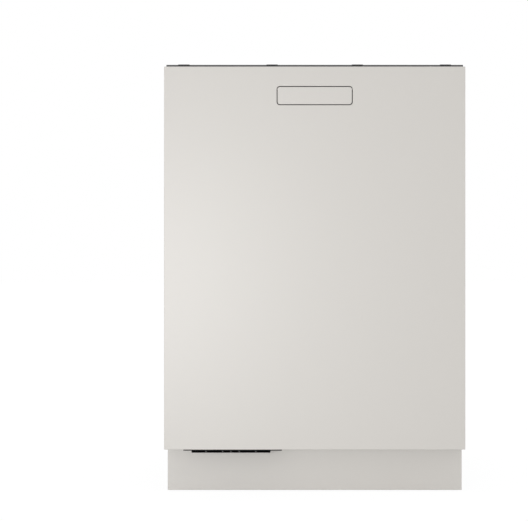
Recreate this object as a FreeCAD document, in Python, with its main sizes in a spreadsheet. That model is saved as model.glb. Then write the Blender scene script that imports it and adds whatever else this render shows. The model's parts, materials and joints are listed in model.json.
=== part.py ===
"""A built-under dishwasher: steel cabinet and tub, drop-down door, three racks and the wash system below.

Every length is in millimetres and is measured from three places: the floor (upwards), the middle of the
machine (sideways) and the face of the door (backwards). The finished bodies are then set back to the middle
of the depth, so the origin is on the floor under the centre of the machine. +Z is up and the door faces -Y.
"""

import FreeCAD, Part
import Sketcher

import math
import os
from types import SimpleNamespace

OUTPUT_FOLDER = "parts"
PICK_SLACK = 0.01
GROOVE_SHARES = (0.4, 0.55, 0.7)
RIM_SIDES = 6
WIRE_SIDES = 4
SMALL_SIDES = 8
ROUND_SIDES = 16
WHEEL_SIDES = 20

# Driving sizes: name, value, meaning
SIZES = (
    ("overall_depth", 559, "door face to back of the machine"),
    ("door_height", 758, "front panel, bottom to top"),
    ("door_bottom", 93, "lower edge of the door above the floor"),
    ("cabinet_width", 592, "outside of the side panels"),
    ("door_side_lap", 2, "front panel beyond the cabinet at each side"),
    ("seat_gap", 0.3, "clearance between two pieces that rest on each other"),
    ("cut_overrun", 2, "how far a cut runs past the material"),
    # Door front
    ("panel_sheet", 1, "thickness of the steel front"),
    ("panel_depth", 20, "depth of the folded edge of the front"),
    ("panel_corner_round", 3, "radius of the corners of the front"),
    ("hinge_back", 30, "door pivot behind the face"),
    ("hinge_rise", 20, "door pivot above the door's lower edge"),
    ("handle_width", 150.4, "opening for the handle flap"),
    ("handle_height", 37.7, "opening for the handle flap"),
    ("handle_drop", 57.6, "top of the door to the middle of the handle"),
    ("handle_corner", 6.5, "corner radius of the handle opening"),
    ("flap_gap", 1.4, "shadow gap round the handle flap"),
    ("flap_thickness", 2.4, "plate of the handle flap"),
    ("flap_pivot_back", 6, "flap pivot behind the face"),
    ("flap_pivot_drop", 3.6, "flap pivot below the flap's top edge"),
    ("flap_barrel_radius", 3.2, "hinge barrel of the flap"),
    ("flap_pin_radius", 2, "hinge pin of the flap"),
    ("flap_pin_clearance", 0.08, "running clearance of the flap pin"),
    ("flap_rib", 2, "stiffening rim behind the flap"),
    ("flap_rib_depth", 3, "how far the rim stands behind the flap"),
    ("pocket_wall", 2, "wall of the finger pocket"),
    ("pocket_side_room", 3, "finger pocket beyond the handle opening at each side"),
    ("pocket_top_room", 4, "finger pocket above the handle opening"),
    ("pocket_bottom_room", 14, "finger pocket below the handle opening"),
    ("pocket_depth", 42, "back of the finger pocket behind the face"),
    ("pocket_rim", 6, "rim by which the pocket is bonded behind the front"),
    ("pocket_corner", 3, "corner radius of the finger pocket"),
    # Inner door
    ("liner_sheet", 0.8, "stainless inner door"),
    ("liner_side_room", 1, "inner door inside the cabinet's sides"),
    ("liner_back", 46, "sealing face of the inner door behind the door face"),
    ("liner_bottom_rise", 4, "inner door above the door's lower edge"),
    ("liner_top_drop", 19, "inner door below the door's top edge"),
    ("recess_side", 60, "recess from the sides of the inner door"),
    ("recess_back", 33, "recess plane behind the door face"),
    ("recess_bottom_rise", 44, "recess above the door's lower edge"),
    ("recess_top_drop", 166, "recess below the door's top edge"),
    ("recess_corner", 24, "corner radius of the recess"),
    ("runner_rib_width", 16, "pressed rib that the lower rack rolls on"),
    ("runner_rib_proud", 12.2, "rib height over the sealing face"),
    ("runner_rib_rise", 48, "lower end of the rib above the door's lower edge"),
    ("runner_rib_length", 430, "length of the rib"),
    ("runner_rib_round", 5, "radius at the ends of the rib"),
    ("hinge_slot_inset", 16.5, "inner side of the hinge slot from the inner door's side"),
    ("hinge_slot_margin", 7, "outer side of the hinge slot from the inner door's side"),
    ("hinge_slot_height", 32, "height of the hinge slot"),
    ("bottom_seal_side", 30, "sweep seal from the tub's sides"),
    ("bottom_seal_height", 8, "sweep seal"),
    ("bottom_seal_rise", 33, "sweep seal above the door's lower edge"),
    ("bottom_seal_gap", 0.6, "sweep seal to the tub"),
    ("bottom_seal_lip", 3, "thickness of the sealing lip"),
    # Controls on the top edge of the door
    ("fascia_wall", 2, "moulded control strip"),
    ("fascia_height", 18.6, "height of the control strip"),
    ("fascia_sink", 0.4, "control strip below the door's top edge"),
    ("board_thickness", 1.6, "control board"),
    ("board_width", 460, "control board"),
    ("board_drop", 10.6, "control board below the top of the strip"),
    ("board_chip_width", 26, "display module on the board"),
    ("board_chip_height", 5, "display module on the board"),
    ("display_width", 70, "window for the display"),
    ("display_depth", 11, "window for the display"),
    ("display_along", 100, "display window from the middle"),
    ("display_sink", 0.5, "window recess"),
    ("button_width", 24, "push button"),
    ("button_depth", 9, "push button"),
    ("button_height", 6.6, "push button"),
    ("button_round", 3, "corner radius of a button"),
    ("button_gap", 0.35, "clearance round a button"),
    ("button_proud", 0.4, "button above the control strip"),
    ("button_collar", 1, "collar that keeps a button in"),
    ("power_inset", 33, "power button from the left end of the strip"),
    ("program_inset", 99, "program button from the left end of the strip"),
    ("options_inset", 99, "options button from the right end of the strip"),
    ("start_inset", 33, "start button from the right end of the strip"),
    # Latch
    ("latch_width", 44, "latch case"),
    ("latch_height", 9, "latch case"),
    ("latch_room", 0.3, "clearance round the latch case"),
    ("latch_slot_width", 19, "mouth of the latch"),
    ("latch_slot_height", 4.4, "mouth of the latch"),
    ("latch_slot_depth", 14, "mouth of the latch"),
    ("latch_slot_drop", 2, "mouth below the top of the latch case"),
    ("tongue_width", 16, "striker tongue"),
    ("tongue_thickness", 2.4, "striker tongue"),
    ("tongue_length", 24, "striker tongue"),
    ("striker_width", 40, "striker base plate"),
    ("striker_plate", 2, "striker base plate thickness"),
    ("striker_height", 6, "striker base plate"),
    # Detergent dispenser
    ("dispenser_width", 172, "dispenser body"),
    ("dispenser_height", 106, "dispenser body"),
    ("dispenser_rise", 355, "dispenser's lower side above the door's lower edge"),
    ("dispenser_front", 22, "front of the dispenser behind the door face"),
    ("dispenser_back", 50, "back of the dispenser behind the door face"),
    ("dispenser_rim", 7, "rim round the dispenser"),
    ("dispenser_rim_thickness", 2.4, "rim round the dispenser"),
    ("dispenser_corner", 10, "corner radius of the dispenser"),
    ("cup_width", 78, "detergent cup"),
    ("cup_height", 56, "detergent cup"),
    ("cup_depth", 20, "detergent cup"),
    ("cup_side_wall", 14, "dispenser side to detergent cup"),
    ("cup_corner", 8, "corner radius of the cup"),
    ("lid_margin", 5, "lid beyond the cup"),
    ("lid_thickness", 3, "sliding lid"),
    ("lid_grip", 3, "ridge on the lid"),
    ("rinse_cap_radius", 17, "rinse aid cap"),
    ("rinse_cap_height", 4, "rinse aid cap"),
    ("rinse_plug_radius", 11, "plug below the cap"),
    ("rinse_plug_depth", 8, "plug below the cap"),
    ("rinse_plug_clearance", 0.3, "plug in its filler neck"),
    ("rinse_cap_side", 42, "rinse cap from the dispenser's side"),
    ("grip_thickness", 4, "finger grip across a cap"),
    ("grip_height", 5, "finger grip across a cap"),
    # Door vent
    ("vent_inset", 132, "middle of the vent from the left side of the door"),
    ("vent_flange_shift", 3.5, "middle of the flange to the right of the vent's middle"),
    ("vent_flange_width", 195, "thin flange of the vent"),
    ("vent_flange_front", 1.5, "flange behind the door face"),
    ("vent_flange_back", 42, "rear edge of the flange behind the door face"),
    ("vent_flange_thickness", 1.7, "thin flange of the vent"),
    ("vent_width", 156, "louvred mouth of the vent"),
    ("vent_front", 5, "louvred mouth behind the door face"),
    ("vent_back", 38, "rear of the louvred mouth"),
    ("vent_height", 4.6, "louvred mouth below the flange"),
    ("vent_wall", 0.8, "wall of the louvred mouth"),
    ("vent_cell_depth", 28, "depth of each louvre cell"),
    ("vent_inner_rib", 16.4, "louvre rib from the middle of the vent"),
    ("vent_outer_rib", 49.4, "louvre rib from the middle of the vent"),
    ("vent_rib", 1.6, "louvre rib thickness"),
    ("duct_width", 46, "steam duct in the door"),
    ("duct_front", 4, "front of the duct behind the door face"),
    ("duct_back", 30.6, "back of the duct behind the door face"),
    ("duct_wall", 1.6, "wall of the duct"),
    ("duct_height", 236, "height of the duct"),
    ("duct_mouth_height", 58, "intake through the inner door"),
    ("duct_mouth_drop", 10, "intake below the top of the duct"),
    ("duct_neck_front", 8, "neck through the door's lower fold"),
    ("duct_neck_back", 18, "neck through the door's lower fold"),
    ("duct_grille_proud", 3, "intake grille over the inner door"),
    ("duct_grille_rim", 5, "rim of the intake grille"),
    ("duct_slat", 3, "slat of the intake grille"),
    ("duct_slat_count", 3, "slats of the intake grille"),
    # Hinges
    ("hinge_plate_inset", 12.3, "inner face of the hinge plate from the cabinet's side"),
    ("hinge_plate_thickness", 3, "hinge plate"),
    ("hinge_plate_back", 226, "rear end of the hinge plate behind the door face"),
    ("hinge_plate_below", 7, "nose of the hinge plate below the pivot"),
    ("hinge_plate_above", 4.6, "nose of the hinge plate above the pivot"),
    ("hinge_plate_skirt", 40, "hinge plate below the pivot inside the base"),
    ("hinge_pin_radius", 4, "door pivot pin"),
    ("hinge_pin_length", 7, "door pivot pin"),
    ("hinge_pin_clearance", 0.06, "running clearance of the pivot"),
    ("hinge_arm_inset", 16.6, "inner face of the hinge arm from the cabinet's side"),
    ("hinge_arm_thickness", 3, "hinge arm"),
    ("hinge_arm_height", 118, "hinge arm above the pivot"),
    ("hinge_arm_depth", 16, "width of the hinge arm"),
    ("hinge_arm_foot", 9, "hinge arm below and in front of the pivot"),
    ("hinge_tail", 42, "spring hook behind the pivot"),
    ("hinge_tail_half", 4.4, "half the width of the tail"),
    ("spring_radius", 6, "counterbalance spring"),
    ("spring_length", 120, "counterbalance spring"),
    ("spring_hook_radius", 1.3, "end hook of the spring"),
    ("spring_hook_length", 12, "end hook of the spring"),
    ("spring_inset", 23.4, "middle of the spring from the cabinet's side"),
    # Tub
    ("tub_sheet", 0.8, "stainless tub"),
    ("tub_side_room", 26, "inside of the tub from the cabinet's side"),
    ("tub_front", 60, "tub flange behind the door face"),
    ("tub_depth", 476, "inside of the tub"),
    ("tub_top_drop", 18, "inside top of the tub below the door's top edge"),
    ("ledge_rise", 50, "rack ledge above the door's lower edge"),
    ("basin_drop", 23, "tub basin below the rack ledge"),
    ("basin_side", 32, "flat of the basin from the tub's side"),
    ("ledge_width", 27, "rack ledge along each side of the tub"),
    ("tub_round", 26, "inside radius of the tub's upper corners"),
    ("flange_side_room", 6, "front flange of the tub inside the cabinet's side"),
    ("flange_top_drop", 1, "top of the flange below the door's top edge"),
    ("flange_notch_height", 200, "hinge notch in the flange above the floor"),
    ("flange_notch_inset", 18, "inner side of the hinge notch from the cabinet's side"),
    ("sump_hole_half", 92, "half width of the sump hole in the tub"),
    ("sump_corner_share", 0.42, "cut corner of the sump, as a share of its half width"),
    ("salt_hole_radius", 30, "salt filler hole in the tub"),
    ("gasket_thickness", 8, "door gasket"),
    ("gasket_inset", 4, "gasket outside the tub opening"),
    ("gasket_foot", 24, "lower end of the gasket above the rack ledge"),
    ("gasket_lip", 2, "groove in the gasket's face"),
    # Cabinet
    ("cabinet_sheet", 0.8, "galvanised panels"),
    ("side_fold", 8, "folded edge of a side panel"),
    ("side_bottom_rise", 3, "side panel above the door's lower edge"),
    ("bead_proud", 1.5, "pressed bead in a panel"),
    ("bead_width", 60, "pressed bead in a panel"),
    ("bead_corner", 24, "corner radius of a bead"),
    ("bead_margin", 70, "bead from the panel's edges"),
    ("rear_bottom_rise", 28, "back panel above the door's lower edge"),
    ("top_fold", 10, "folded edge of the top panel"),
    ("insulation_thickness", 10, "felt over the tub"),
    ("insulation_side", 2, "felt inside the tub's sides"),
    ("strip_front", 24, "worktop strip behind the door face"),
    ("strip_back", 90, "worktop strip behind the door face"),
    ("strip_thickness", 5.3, "worktop strip"),
    ("strip_groove", 1.2, "grooves of the worktop strip"),
    ("lug_width", 22, "fixing lug"),
    ("lug_depth", 24, "fixing lug"),
    ("lug_height", 0.8, "fixing lug"),
    ("lug_inner", 85, "inner lugs from the middle"),
    ("lug_inset", 35, "outer lugs from the ends of the strip"),
    ("lug_hole_radius", 2.25, "screw hole in a lug"),
    ("plinth_side_lap", 0.9, "plinth beyond the cabinet at each side"),
    ("plinth_setback", 55, "plinth behind the door face"),
    ("plinth_floor_gap", 3, "plinth above the floor"),
    ("plinth_top_drop", 7, "plinth's top below the door's lower edge"),
    ("plinth_sheet", 1.2, "plinth panel"),
    ("plinth_edge_round", 1.5, "front edge radius of the plinth"),
    # Base
    ("base_side_room", 6, "moulded base inside the cabinet's side"),
    ("base_front", 68, "base behind the door face"),
    ("base_back", 540, "base behind the door face"),
    ("base_bottom", 30, "base above the floor"),
    ("base_wall", 3, "wall of the base"),
    ("base_notch_inset", 24, "hinge notch of the base from the cabinet's side"),
    ("base_notch_height", 50, "lower side of the hinge notch above the floor"),
    ("foot_inset", 56, "feet from the cabinet's sides"),
    ("foot_front_back", 98, "front feet behind the door face"),
    ("foot_rear_back", 500, "rear feet behind the door face"),
    ("foot_pad_radius", 20, "foot"),
    ("foot_pad_height", 9, "foot"),
    ("foot_spindle_radius", 6, "threaded spindle"),
    ("foot_spindle_height", 62, "top of the spindle above the floor"),
    ("foot_nut_radius", 12.5, "hexagon of the foot, over its corners"),
    ("foot_nut_height", 7, "spanner flats of the foot"),
    ("foot_clearance", 0.1, "spindle in its boss"),
    ("foot_boss_radius", 12, "boss in the base"),
    ("foot_boss_height", 30, "boss in the base"),
    ("base_rib", 2.4, "stiffening rib in the base"),
    ("base_rib_height", 14, "stiffening rib in the base"),
    # Sump, filters and pumps
    ("sump_back", 298, "sump centre behind the door face"),
    ("sump_wall", 3, "wall of the sump"),
    ("sump_half", 90, "half width of the sump"),
    ("sump_flange_half", 106, "half width of the flange below the tub"),
    ("sump_flange_thickness", 4, "flange below the tub"),
    ("sump_depth", 68, "bottom of the sump below the tub"),
    ("sump_floor_half", 62, "half width of the sump's lower chamber"),
    ("sump_step_height", 22, "height of the sump's lower chamber"),
    ("post_radius", 12, "post that carries the lower spray arm"),
    ("post_height", 26, "post above the tub floor"),
    ("spigot_radius", 6, "spigot in a spray arm's hub"),
    ("spigot_height", 10, "spigot in a spray arm's hub"),
    ("spigot_clearance", 0.1, "spray arm on its spigot"),
    ("filter_half", 91.4, "half width of the fine filter plate"),
    ("filter_thickness", 2, "fine filter plate"),
    ("filter_dish", 1, "rim over the filter plate"),
    ("post_room", 1, "filter plate to the post"),
    ("coarse_across", 45, "coarse filter to the right of the sump centre"),
    ("coarse_forward", 35, "coarse filter in front of the sump centre"),
    ("coarse_radius", 28, "coarse filter"),
    ("coarse_wall", 2, "coarse filter"),
    ("coarse_length", 36, "coarse filter below the plate"),
    ("coarse_room", 1, "coarse filter in the plate"),
    ("coarse_flange", 5, "flange of the coarse filter"),
    ("coarse_grip_height", 12, "finger grip of the coarse filter"),
    ("pump_radius", 36, "circulation pump motor"),
    ("pump_length", 84, "circulation pump motor"),
    ("volute_radius", 40, "pump volute"),
    ("volute_length", 34, "pump volute"),
    ("pump_inlet_radius", 13, "pump inlet"),
    ("pump_inlet_length", 26, "pump inlet"),
    ("pump_centre_height", 76, "pump axis above the floor"),
    ("motor_step", 6, "end cap of the motor"),
    ("drain_radius", 24, "drain pump"),
    ("drain_length", 62, "drain pump"),
    ("drain_head_radius", 30, "drain pump head"),
    ("drain_head_length", 18, "drain pump head"),
    ("drain_inlet_radius", 9, "drain pump inlet"),
    ("drain_duct", 16, "square drain duct"),
    ("drain_spigot_radius", 9.5, "drain hose spigot"),
    ("drain_spigot_end", 558, "end of the spigot behind the door face"),
    ("rear_hole_clearance", 1, "hole round a rear connector"),
    ("salt_left", 165, "salt filler to the left of the middle"),
    ("salt_back", 182, "salt filler behind the door face"),
    ("salt_tank_width", 112, "softener tank"),
    ("salt_tank_depth", 124, "softener tank"),
    ("salt_tank_bottom", 44, "softener tank above the floor"),
    ("salt_tank_headroom", 8, "softener tank below the tub"),
    ("salt_tank_round", 10, "corner radius of the tank"),
    ("salt_neck_wall", 5, "neck of the softener"),
    ("salt_neck_depth", 30, "bore of the neck"),
    ("salt_cap_radius", 35, "salt cap"),
    ("salt_cap_height", 8, "salt cap"),
    ("salt_plug_depth", 12, "plug of the salt cap"),
    ("salt_plug_clearance", 0.3, "plug in the neck"),
    ("chamber_thickness", 15, "water chamber beside the tub"),
    ("chamber_front", 150, "water chamber behind the door face"),
    ("chamber_length", 280, "water chamber"),
    ("chamber_bottom", 230, "water chamber above the floor"),
    ("chamber_height", 420, "water chamber"),
    ("chamber_groove", 8, "channels pressed in the water chamber"),
    ("chamber_groove_depth", 4, "channels pressed in the water chamber"),
    ("chamber_groove_count", 5, "channels pressed in the water chamber"),
    ("valve_along", 200, "inlet valve to the right of the middle"),
    ("valve_width", 44, "inlet valve"),
    ("valve_length", 40, "inlet valve"),
    ("valve_height", 34, "inlet valve"),
    ("valve_centre_height", 78, "inlet thread above the floor"),
    ("valve_thread_radius", 13.2, "inlet thread"),
    ("valve_thread_end", 556, "end of the thread behind the door face"),
    ("valve_coil_radius", 13, "solenoid of the inlet valve"),
    ("valve_coil_height", 20, "solenoid of the inlet valve"),
    # Feed pipe and spray arms
    ("feed_width", 32, "riser at the back of the tub"),
    ("feed_thickness", 14, "riser at the back of the tub"),
    ("feed_ceiling", 11, "duct under the tub's top"),
    ("feed_hole_radius", 12, "riser's hole in the tub floor"),
    ("feed_neck_radius", 11, "neck of the riser"),
    ("feed_neck_bottom", 92, "lower end of the neck above the floor"),
    ("feed_duct", 15, "delivery duct below the tub"),
    ("dock_length", 9, "docking port for the upper rack"),
    ("dock_half", 9, "docking port for the upper rack"),
    ("arm_radius", 222, "lower spray arm"),
    ("arm_root", 25, "half width of a spray arm at its hub"),
    ("arm_tip", 13, "half width of a spray arm at its tip"),
    ("arm_sweep", 16, "how far a spray arm's tip leans"),
    ("arm_thickness", 9, "spray arm"),
    ("arm_round", 8, "cut corners of a spray arm's tip"),
    ("hub_radius", 19, "hub of a spray arm"),
    ("hub_height", 15, "hub of a spray arm"),
    ("nozzle_length", 9, "nozzle slot"),
    ("nozzle_width", 2.6, "nozzle slot"),
    ("nozzle_depth", 3, "nozzle slot"),
    ("nozzle_start", 50, "first nozzle from the hub"),
    ("nozzle_count", 4, "nozzles on each side"),
    ("upper_arm_radius", 205, "upper spray arm"),
    ("top_arm_radius", 118, "top spray arm"),
    ("top_nozzle_count", 3, "nozzles on each side of the top arm"),
    ("upper_feed_width", 26, "duct below the upper rack"),
    ("upper_feed_height", 14, "duct below the upper rack"),
    # Racks
    ("wire_radius", 2, "rack wire"),
    ("rim_radius", 2.6, "rim wire"),
    ("wire_gap", 0.2, "between crossing wires"),
    ("tine_radius", 1.6, "plate tine"),
    ("lower_rack_room", 33, "lower rack from the tub's side"),
    ("lower_rack_front", 80, "lower rack behind the door face"),
    ("lower_rack_length", 436, "lower rack"),
    ("lower_rack_height", 142, "lower rack"),
    ("wheel_radius", 19, "rack wheel"),
    ("wheel_width", 11, "rack wheel"),
    ("wheel_bore_clearance", 0.1, "wheel on its axle"),
    ("axle_radius", 4, "wheel axle"),
    ("bracket_thickness", 5, "wheel bracket"),
    ("bracket_width", 18, "wheel bracket"),
    ("wheel_room", 1, "wheel to its bracket"),
    ("rack_lift", 3.4, "rack wires above the wheels"),
    ("front_wheel_set", 112, "front axle behind the rack's front"),
    ("rear_wheel_set", 362, "rear axle behind the rack's front"),
    ("tine_height", 68, "plate tines"),
    ("tine_row_step", 88, "spacing of the tine rows"),
    ("first_tine_row", 76, "first row behind the rack's front"),
    ("upper_rack_rise", 287, "upper rack above the rack ledge"),
    ("upper_rack_room", 35, "upper rack from the tub's side"),
    ("upper_rack_front", 84, "upper rack behind the door face"),
    ("upper_rack_length", 424, "upper rack"),
    ("upper_rack_height", 128, "upper rack"),
    ("upper_tine_height", 44, "cup tines"),
    ("upper_tine_step", 120, "spacing of the cup tine rows"),
    ("upper_first_row", 100, "first cup row behind the rack's front"),
    ("clip_width", 22, "clip between rack and rail"),
    ("clip_height", 16, "clip between rack and rail"),
    ("clip_set", 60, "clips from the ends of the rack"),
    ("rail_rise", 60, "telescopic rail above the upper rack's floor"),
    ("rail_length", 424, "telescopic rail"),
    ("rail_half_height", 13, "telescopic rail"),
    ("rail_sheet", 1.4, "telescopic rail"),
    ("rail_lip", 10.4, "reach of a rail's lip"),
    ("rail_wall_room", 0.3, "rail to the tub wall"),
    ("rail_bar_room", 1.2, "bar to a rail's web"),
    ("rail_web_inset", 26, "inner rail's web from the tub's side"),
    ("tray_rise", 610, "cutlery tray above the rack ledge"),
    ("tray_room", 31, "cutlery tray from the tub's side"),
    ("tray_front", 86, "cutlery tray behind the door face"),
    ("tray_length", 412, "cutlery tray"),
    ("tray_height", 38, "cutlery tray"),
    ("tray_rail_half", 9, "tray rail"),
    ("tray_rail_lip", 13, "reach of the tray rail's lip"),
    ("shelf_width", 88, "cup shelf"),
    ("shelf_length", 300, "cup shelf"),
    ("shelf_thickness", 4, "cup shelf"),
    ("shelf_drop", 22, "cup shelf below the rack's rim"),
    ("shelf_slot_count", 7, "slots of the cup shelf"),
    ("shelf_slot_length", 20, "slot along the shelf"),
    ("shelf_rim", 12, "cup shelf round its slots"),
    ("shelf_hinge_radius", 3.4, "hinge barrel of the cup shelf"),
    # Counts of wires
    ("floor_wire_count", 6, "wires along a rack's floor"),
    ("cross_wire_count", 5, "wires across a rack's floor"),
    ("tine_count", 9, "tines in a row"),
    ("tray_along_count", 4, "wires along the cutlery tray"),
    ("tray_cross_count", 6, "wires across the cutlery tray"),
)


def number(term):
    """The plain number of a measure or of a number."""
    return term.value if isinstance(term, Measure) else float(term)


def formula(term):
    """The expression of a measure or of a number."""
    return term.formula if isinstance(term, Measure) else repr(term)


class Measure:
    """A size that keeps both its number and the spreadsheet formula it comes from."""

    def __init__(self, value, text):
        self.value = float(value)
        self.formula = text

    def joined(self, sign, other, value):
        return Measure(value, f"({self.formula} {sign} {formula(other)})")

    def __add__(self, other):
        return self.joined("+", other, self.value + number(other))

    def __sub__(self, other):
        return self.joined("-", other, self.value - number(other))

    def __mul__(self, other):
        return self.joined("*", other, self.value * number(other))

    def __truediv__(self, other):
        return self.joined("/", other, self.value / number(other))

    def __radd__(self, other):
        return Measure(number(other), formula(other)) + self

    def __neg__(self):
        return Measure(-self.value, f"(-{self.formula})")


def make_sheet(document):
    """Writes the driving sizes into a sheet and returns them by name."""
    sheet = document.addObject("Spreadsheet::Sheet", "Sizes")
    for row, (name, value, meaning) in enumerate(SIZES, 1):
        sheet.set(f"A{row}", name)
        sheet.set(f"B{row}", str(value))
        sheet.set(f"C{row}", meaning)
        sheet.setAlias(f"B{row}", name)
    document.recompute()
    return SimpleNamespace(**{name: Measure(value, f"Sizes.{name}") for name, value, _ in SIZES})


doc = FreeCAD.newDocument("Dishwasher")
size = make_sheet(doc)

# Levels and planes that several pieces share
zero = Measure(0, "0")
cabinet_half = size.cabinet_width / 2
door_half = cabinet_half + size.door_side_lap
liner_half = cabinet_half - size.liner_side_room
plinth_half = cabinet_half + size.plinth_side_lap
tub_half = cabinet_half - size.tub_side_room
ledge_half = tub_half - size.ledge_width
lower_rack_half = tub_half - size.lower_rack_room
upper_rack_half = tub_half - size.upper_rack_room
rail_web = tub_half - size.rail_web_inset
vent_x = size.vent_inset - door_half
foot_x = cabinet_half - size.foot_inset
lug_x = cabinet_half - size.lug_inset
door_top = size.door_bottom + size.door_height
hinge_z = size.door_bottom + size.hinge_rise
ledge_z = size.door_bottom + size.ledge_rise
basin_z = ledge_z - size.basin_drop
tub_ceiling = door_top - size.tub_top_drop
tub_back = size.tub_front + size.tub_depth
base_top = basin_z - size.tub_sheet - size.seat_gap
base_floor = size.base_bottom + size.base_wall
plinth_top = size.door_bottom - size.plinth_top_drop
handle_z = door_top - size.handle_drop
flap_top = handle_z + size.handle_height / 2 - size.flap_gap
flap_pivot_z = flap_top - size.flap_pivot_drop
fascia_top = door_top - size.fascia_sink
liner_top = door_top - size.liner_top_drop
liner_face = size.liner_back + size.liner_sheet
recess_face = size.recess_back + size.liner_sheet
strip_bottom = door_top + size.cabinet_sheet + size.seat_gap
strip_top = strip_bottom + size.strip_thickness
back_face = size.overall_depth
arm_floor = basin_z + size.post_height + size.seat_gap
rack_floor = ledge_z + size.seat_gap + size.wheel_radius * 2 + size.rack_lift
upper_floor = ledge_z + size.upper_rack_rise
tray_floor = ledge_z + size.tray_rise
rail_z = upper_floor + size.rail_rise
tray_rail_z = tray_floor + size.tray_height / 2


def spot(x, y, z):
    """A point from measures or numbers."""
    return FreeCAD.Vector(number(x), number(y), number(z))


def bind(thing, name, term):
    """Ties a property to the sheet."""
    if isinstance(term, Measure):
        thing.setExpression(name, term.formula)


def heading(start, end):
    """Signs of the sideways and upward steps from one point to another."""
    steps = [number(last) - number(first) for first, last in zip(start, end)]
    return [(step > PICK_SLACK) - (step < -PICK_SLACK) for step in steps]


def flat(point):
    """A sketch point as a vector."""
    return FreeCAD.Vector(number(point[0]), number(point[1]), 0)


def pin_point(sketch, shape, place, point):
    """Ties a point of a sketch to its two coordinates."""
    for kind, term in zip(("DistanceX", "DistanceY"), point):
        index = sketch.addConstraint(Sketcher.Constraint(kind, shape, place, number(term)))
        bind(sketch, f"Constraints[{index}]", term)


def set_radius(sketch, shape, radius):
    """Ties the radius of a circle or an arc."""
    index = sketch.addConstraint(Sketcher.Constraint("Radius", shape, number(radius)))
    bind(sketch, f"Constraints[{index}]", radius)


def outline(*corners):
    """A closed loop of straight lines; a corner with a third term, its radius, is rounded."""

    def draw(sketch):
        turns = []
        for k, corner in enumerate(corners):
            point = corner[:2]
            if len(corner) == 2:
                turns.append((point, point, None))
                continue
            radius = corner[2]
            back = heading(point, corners[k - 1][:2])
            ahead = heading(point, corners[(k + 1) % len(corners)][:2])
            entry = (point[0] + radius * back[0], point[1] + radius * back[1])
            leave = (point[0] + radius * ahead[0], point[1] + radius * ahead[1])
            turns.append((entry, leave, (entry[0] + radius * ahead[0], entry[1] + radius * ahead[1])))
        lines = []
        for k, (_, leave, _) in enumerate(turns):
            arrive = turns[(k + 1) % len(turns)][0]
            lines.append(sketch.addGeometry(Part.LineSegment(flat(leave), flat(arrive)), False))
        for k, (entry, leave, centre) in enumerate(turns):
            pin_point(sketch, lines[k], 1, leave)
            if centre is None:
                sketch.addConstraint(Sketcher.Constraint("Coincident", lines[k - 1], 2, lines[k], 1))
                continue
            pin_point(sketch, lines[k - 1], 2, entry)
            radius = corners[k][2]
            first, last = [flat(point) - flat(centre) for point in (entry, leave)]
            left_turn = first.cross(last).z > 0
            if not left_turn:
                first, last = last, first
            start = math.atan2(first.y, first.x)
            whole = Part.Circle(flat(centre), FreeCAD.Vector(0, 0, 1), number(radius))
            arc = sketch.addGeometry(Part.ArcOfCircle(whole, start, start + math.radians(90)), False)
            ends = (1, 2) if left_turn else (2, 1)
            sketch.addConstraint(Sketcher.Constraint("Coincident", arc, ends[0], lines[k - 1], 2))
            sketch.addConstraint(Sketcher.Constraint("Coincident", arc, ends[1], lines[k], 1))
            set_radius(sketch, arc, radius)

    return draw


def rectangle(left, right, low, high):
    """A rectangle between two sides and two heights."""
    return outline((left, low), (right, low), (right, high), (left, high))


def rounded(left, right, low, high, radius):
    """A rectangle with rounded corners."""
    return outline((left, low, radius), (right, low, radius), (right, high, radius), (left, high, radius))


def arched(left, right, low, high, radius):
    """A rectangle with rounded upper corners."""
    return outline((left, low), (right, low), (right, high, radius), (left, high, radius))


def chamfered(left, right, low, high, cut):
    """A rectangle with its corners cut off."""
    return outline((left + cut, low), (right - cut, low), (right, low + cut), (right, high - cut),
                   (right - cut, high), (left + cut, high), (left, high - cut), (left, low + cut))


def circle(across, up, radius):
    """A circle about a point."""

    def draw(sketch):
        whole = Part.Circle(flat((across, up)), FreeCAD.Vector(0, 0, 1), number(radius))
        shape = sketch.addGeometry(whole, False)
        pin_point(sketch, shape, 3, (across, up))
        set_radius(sketch, shape, radius)

    return draw


def faceted(across, up, radius, sides):
    """A round outline drawn with flat sides, its corners at the radius."""
    turns = [math.radians(360 * k / sides) for k in range(sides)]
    return outline(*[(across + radius * math.cos(turn), up + radius * math.sin(turn)) for turn in turns])


def faceted_hole(across, up, radius, sides):
    """A round outline drawn with flat sides, its flats at the radius."""
    return faceted(across, up, radius / math.cos(math.pi / sides), sides)


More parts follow.
